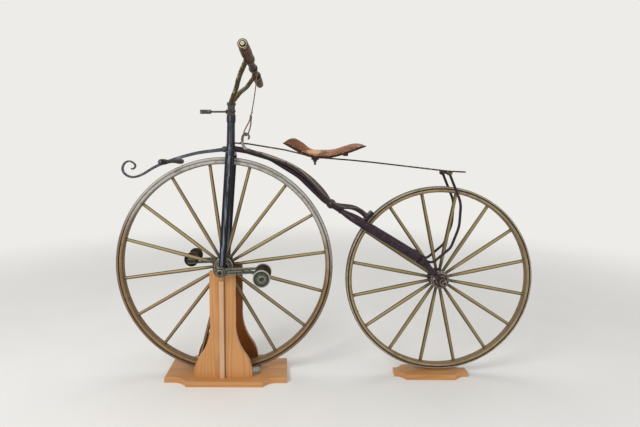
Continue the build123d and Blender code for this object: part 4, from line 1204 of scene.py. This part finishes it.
def oil_screw(end):
    """A hub's slotted oil screw, which leans out to the left."""
    turn = math.radians(OIL_SCREWS[end])
    out = np.array([math.cos(turn), 0, math.sin(turn)])
    place = WHEELS[end].axle + (out * OIL_SCREW_AT[0] - Y_AXIS * OIL_SCREW_AT[1]) * MM
    return slotted(place, out * 0.5 - Y_AXIS, Z_AXIS - X_AXIS * 0.2, *OIL_SCREW_SIZE)


def frame_fittings():
    """The nuts of the stays' bolt and of the brake's pivot, the spring's rivets and the legs'
    screws."""
    bolt, pivot = middle("stay_bolt"), middle("brake_pivot")
    low, high = corners("saddle_spring")
    solids = [nut(bolt + Y_AXIS * way * STAY_NUT * MM, Y_AXIS * way, 8.5, 6) for way in (-1, 1)]
    solids.append(nut(pivot * [1, 0, 1] + Y_AXIS * PIVOT_NUT * MM, Y_AXIS, 9, 7))
    front_x, front_y = SPRING_FRONT_RIVETS
    for y in (-front_y, front_y):
        place = (front_x * MM, y * MM, high[2] - 1.3 * MM)
        solids.append(rivet(place, (0.05, 0, 1), 4.2, 2.4))
    solids.append(rivet((SPRING_REAR_RIVET * MM, 0, low[2] + 5 * MM), Z_AXIS, 4, 2.2))
    for way in (-1, 1):
        place = np.array(LEG_SCREW) * [1, way, 1] * MM
        solids.append(slotted(place, Y_AXIS * way, X_AXIS, 3.8, 2.2))
    return together(solids)


def steering_fittings():
    """The lamp bracket's nut on the head cap and the ferrules at both ends of each grip."""
    lamp_low, lamp_high = corners("lamp_bracket")
    front = corners("head_cap")[0][0]
    solids = [nut((front + 0.5 * MM, 0, (lamp_low[2] + lamp_high[2]) / 2), -X_AXIS, 8, 5)]
    bar = middle("handlebar") * [1, 0, 1]
    for side, way in SIDES.items():
        near, far = np.sort(np.abs(corners(f"grip_{side}"))[:, 1])
        for y, size in zip((near, far - 5 * MM), GRIP_FERRULES):
            solids.append(collar(bar + Y_AXIS * way * y, Y_AXIS * way, *size))
    return together(solids)


class VELOCIPEDE_OT_fittings(Operator):
    """Make the nuts, screws, rivets, tyre pins and grip ferrules"""

    bl_idname = "velocipede.fittings"
    bl_label = "Fittings"

    def execute(self, context):
        c = context.scene.velocipede_colours
        iron = worn_iron("fitting iron", c.fitting, c.fitting_bright, wear=0.9, gloss=0.38)
        light = toned(c.fitting_bright, 0.8), c.fitting_bright
        bright = worn_iron("bright screw iron", *light, wear=1.0, gloss=0.32)
        for end, wheel in WHEELS.items():
            piece(f"{end}_tyre_pins", wheel_pins(wheel), iron, f"{end}_wheel")
        for end in WHEELS:
            piece(f"{end}_oil_screw", oil_screw(end), bright, f"{end}_wheel")

        axle = WHEELS["front"].axle
        cotters = []
        for way in SIDES.values():
            place = axle + np.array(COTTER_AT) * [way, way, 1] * MM
            cotters.append(rivet(place, np.array(COTTER_LEAN) * [way, 1, 1], 3.6, 3))
        piece("crank_cotters", together(cotters), bright, "front_wheel")
        piece("frame_fittings", frame_fittings(), iron, "frame")
        piece("steering_fittings", steering_fittings(), iron, "steering")
        return {"FINISHED"}


# finishes of the frame's nodes

# the lines that the painted highlight streaks of fork and head follow, as (x, z) in metres
FORK_TOP = (-0.392, 0.95)
HEAD_LINE = (-0.394, 0.962), (-0.391, 1.112)


class VELOCIPEDE_OT_iron(Operator):
    """Give the frame, fork, spring and handlebar their old iron and steel"""

    bl_idname = "velocipede.iron"
    bl_label = "Ironwork finish"

    def execute(self, context):
        c = context.scene.velocipede_colours
        black = worn_iron("black frame iron", c.frame_paint, c.frame_bare, wear=0.1, gloss=0.36)
        dress(black, "backbone", *both("rear_leg", "spring_stay"), "stay_bolt", "brake_spoon")
        fork_line = WHEELS["front"].axle[[0, 2]], FORK_TOP
        fork = streaked_iron("blue black fork iron", c.fork_paint, c.fork_sheen_and_rest_bare, *fork_line)
        dress(fork, "fork_crown", *both("fork_blade"))
        head_tones = toned(c.fork_paint, 1.8), toned(c.fork_sheen_and_rest_bare, 0.9)
        dress(streaked_iron("head iron", *head_tones, *HEAD_LINE, 0.65), "head_tube")
        rest = worn_iron("leg rest iron", c.rest_iron, c.fork_sheen_and_rest_bare, gloss=0.4)
        dress(rest, "leg_rest", "leg_rest_rod")
        dark = worn_iron("dark spring iron", c.spring_iron, c.spring_bare, wear=0.6, gloss=0.4)
        dress(dark, "saddle_spring", "saddle_frame", "saddle_clamp", "brake_pivot")
        dress(lever_iron("lever iron", c), "brake_lever")
        cap = worn_iron("head cap iron", c.cap_iron, c.hub_bright, wear=0.7, gloss=0.34)
        dress(cap, "head_cap", "lamp_bracket")
        dress(old_steel("handlebar steel", c.bar_steel, c.bar_bright), *both("handlebar_arm"))
        dress(bar_finish("handlebar iron", c), "handlebar")
        dress(turned_grip("grip wood", c.grip_wood, c.grip_light), *both("grip"))
        roller = toned(c.roller_wood, 0.45), toned(c.roller_wood, 1.5)
        dress(turned_grip("roller wood", *roller), *both("leg_rest_grip"))
        return {"FINISHED"}


# the rubbed rings of the hubs, as bands of radius in mm
HUB_RINGS = {
    "front": [(37.5, 41), (33, 35.5), (29, 31.5), (22, 24.5), (10, 13)],
    "rear": [(36.5, 39), (30, 32.5), (19, 21.5), (12, 15.5), (7, 9)],
}


class VELOCIPEDE_OT_wheels(Operator):
    """Give the wheels, cranks and pedals their old wood and iron"""

    bl_idname = "velocipede.wheels"
    bl_label = "Wheel finish"

    def execute(self, context):
        c = context.scene.velocipede_colours
        tones = {
            # the front wheel's upper tones are painted sheen; the rear wheel's are a darker second
            # tone
            "front": (c.tyre_low, c.rim_sheen_above, c.rim_low, c.rim_sheen_above, c.front_hub),
            "rear": (
                c.rear_tyre, toned(c.rear_tyre, 0.7), c.rear_rim, toned(c.rear_rim, 0.7), c.rear_hub
            ),
        }
        for end, (tyre_low, tyre_high, wood_low, wood_high, hub) in tones.items():
            dress(wheel_iron(end, tyre_low, tyre_high, c), f"{end}_tyre")
            dress(rim_wood(end, wood_low, wood_high, c), f"{end}_felloe")
            dress(spoke_paint(end, c), f"{end}_spokes")
            rings = WHEELS[end].axle, hub, c.hub_bright, HUB_RINGS[end]
            dress(ringed_iron(f"{end} hub iron", *rings), f"{end}_hub", f"{end}_axle")
        dress(crank_iron("crank iron", c), *both("crank"))
        grey = c.pedal_grey, c.pedal_steel, c.pedal_dark
        dress(pedal_finish("near pedal", "pedal_left", *grey), "pedal_left")
        dark = toned(c.pedal_dark, 0.9), toned(c.pedal_dark, 1.6), c.pedal_dark
        dress(pedal_finish("far pedal", "pedal_right", *dark), "pedal_right")
        return {"FINISHED"}


class VELOCIPEDE_OT_stand(Operator):
    """Give the stand and the rear block their varnished pine"""

    bl_idname = "velocipede.stand"
    bl_label = "Pine stand finish"

    def execute(self, context):
        c = context.scene.velocipede_colours
        upright, lengthwise = 2, 0
        # the right post: the same pine, darker as painted shade
        posts = {"left": (c.pine, c.pine_ring), "right": (c.pine_shaded, toned(c.pine_shaded, 0.7))}
        for k, (side, tones) in enumerate(posts.items()):
            low, high = corners(f"stand_batten_{side}")
            place, half = float(low[0] + high[0]) / 2, float(high[0] - low[0]) / 2
            # the batten's cast shadow on the post, as painted shade
            corner = place, half - 1 * MM, half + 4 * MM
            post = planed_pine(f"pine post {side}", upright, (0.37 * k, 0.2, 0.1), *tones, corner)
            dress(post, f"stand_post_{side}")
            for part, along, shift, pair in (
                ("batten", upright, (0.7 + k, 0.5, 0.3), (c.pine_pale, c.pine)),
                ("foot", lengthwise, (0.5, 0.9 * k, 0.6), (c.pine, c.pine_ring)),
            ):
                wood = planed_pine(f"pine {part} {side}", along, shift, *pair)
                dress(wood, f"stand_{part}_{side}")
        block = planed_pine("pine block", lengthwise, (1.3, 0.4, 0.8), c.pine, c.pine_ring)
        dress(block, "rear_block")
        return {"FINISHED"}


# the stage

FLOOR_RADIUS = 14.0
LAMPS = [
    # name, place, size, watts
    ("key lamp", (-2.2, -2.4, 2.9), 1.8, 84.0),
    ("fill lamp", (2.6, -2.4, 1.7), 2.4, 16.0),
    ("top lamp", (0.3, 0.6, 3.4), 2.4, 34.0),
]
LAMP_AIM = (0.0, 0.0, 0.6)
# the photo's width, the point that the lens looks at, and the photo's middle, in pixels
PHOTO_WIDTH = 640
OPTICAL_AXIS = (288.3, 183.1)
PHOTO_MIDDLE = (320.0, 213.5)


def floor_disc(rings=24, columns=96):
    """A flat disc: rings whose radius grows as the square of their number."""
    radius = (np.linspace(0.02, 1, rings) ** 2 * FLOOR_RADIUS)[:, None]
    turn = np.linspace(0, 2 * np.pi, columns, endpoint=False)[None, :]
    grid = np.stack([radius * np.cos(turn), radius * np.sin(turn), 0 * radius * turn], axis=-1)
    points = np.concatenate([grid.reshape(-1, 3), np.zeros((1, 3))])
    return points, [cells_of(rings, columns), fan(rings * columns, 0, columns)]


def pale_floor(stage):
    """The floor: plain and pale under the object. Where the camera sees it, it fades with the
    distance from the middle into the backdrop's own colour."""
    finish = Finish("pale floor")
    mottle = finish.noise(3.0, 4.0, 0.5).between(0.35, 0.65) * 0.3
    tone = finish.mix(mottle, stage.floor, toned(stage.floor, 0.94))
    x, y, _ = finish.axes()
    away = ((x * x + y * y) ** 0.5).between(stage.fade_start, stage.fade_end)
    seen = finish.node("ShaderNodeLightPath", out="Is Camera Ray")
    lit = finish.principled(tone, 0.85, shine=0.1)
    pale = finish.node("ShaderNodeEmission", None, {"Color": (*stage.backdrop, 1.0)})
    choice = finish.node("ShaderNodeMixShader", None, {0: away * seen, 1: lit, 2: pale})
    finish.node("ShaderNodeOutputMaterial", None, {"Surface": choice})
    return finish.holder


def pale_world(stage):
    """The surroundings: even light for diffuse rays, and the backdrop's colour for the camera and
    for reflections."""
    finish = Finish("pale surroundings", "worlds")
    rays = finish.outputs(finish.node("ShaderNodeLightPath"))
    seen = rays["Is Camera Ray"].larger(rays["Is Glossy Ray"]).larger(rays["Is Transmission Ray"])
    white = {"Color": (1.0, 1.0, 1.0, 1.0), "Strength": stage.ambient}
    light = finish.node("ShaderNodeBackground", None, white)
    pale = finish.node("ShaderNodeBackground", None, {"Color": (*stage.backdrop, 1.0)})
    choice = finish.node("ShaderNodeMixShader", None, {0: seen, 1: light, 2: pale})
    finish.node("ShaderNodeOutputWorld", None, {"Surface": choice})
    return finish.holder


class VELOCIPEDE_OT_stage(Operator):
    """Make the pale floor, the lamps, the surroundings and the camera"""

    bl_idname = "velocipede.stage"
    bl_label = "Floor, lamps and camera"

    def execute(self, context):
        scene = context.scene
        stage = scene.velocipede_stage
        piece("floor", floor_disc(), pale_floor(stage))

        for name, place, size, watts in LAMPS:
            lamp = bpy.data.lights.new(name, "AREA")
            lamp.shape = "DISK"
            lamp.size = size
            lamp.energy = watts
            holder = bpy.data.objects.new(name, lamp)
            holder.location = place
            holder.rotation_mode = "QUATERNION"
            aim = Vector(np.array(LAMP_AIM) - place)
            holder.rotation_quaternion = aim.to_track_quat("-Z", "Y")
            scene.collection.objects.link(holder)
        scene.world = pale_world(stage)

        lens = bpy.data.cameras.new("camera")
        lens.sensor_width = 36.0
        lens.lens = stage.focal
        lens.shift_x = (PHOTO_MIDDLE[0] - OPTICAL_AXIS[0]) / PHOTO_WIDTH
        lens.shift_y = (OPTICAL_AXIS[1] - PHOTO_MIDDLE[1]) / PHOTO_WIDTH
        camera = bpy.data.objects.new("camera", lens)
        camera.location = stage.eye
        camera.rotation_euler = (math.pi / 2 - stage.down, 0.0, stage.turn)
        scene.collection.objects.link(camera)
        scene.camera = camera
        scene.view_settings.view_transform = "Standard"
        return {"FINISHED"}


class VELOCIPEDE_PT_panel(Panel):
    bl_idname = "VELOCIPEDE_PT_panel"
    bl_label = "Velocipede"
    bl_space_type = "VIEW_3D"
    bl_region_type = "UI"
    bl_category = "Velocipede"

    def draw(self, context):
        for operator in OPERATORS:
            self.layout.operator(operator.bl_idname)
        for group in SETTINGS:
            column = self.layout.column(align=True)
            settings = getattr(context.scene, group)
            for name in settings.__annotations__:
                column.prop(settings, name)


OPERATORS = (
    VELOCIPEDE_OT_stage,
    VELOCIPEDE_OT_iron,
    VELOCIPEDE_OT_wheels,
    VELOCIPEDE_OT_stand,
    VELOCIPEDE_OT_saddle,
    VELOCIPEDE_OT_brake_cord,
    VELOCIPEDE_OT_fittings,
)
SETTINGS = {
    "velocipede_colours": VelocipedeColours,
    "velocipede_sizes": VelocipedeSizes,
    "velocipede_stage": VelocipedeStage,
}


def register():
    for kind in (*SETTINGS.values(), *OPERATORS, VELOCIPEDE_PT_panel):
        bpy.utils.register_class(kind)
    for name, kind in SETTINGS.items():
        setattr(bpy.types.Scene, name, PointerProperty(type=kind))


def unregister():
    for name in SETTINGS:
        delattr(bpy.types.Scene, name)
    for kind in reversed((*SETTINGS.values(), *OPERATORS, VELOCIPEDE_PT_panel)):
        bpy.utils.unregister_class(kind)


def main():
    register()
    for operator in OPERATORS:
        family, action = operator.bl_idname.split(".")
        getattr(getattr(bpy.ops, family), action)()


if __name__ == "__main__":
    main()
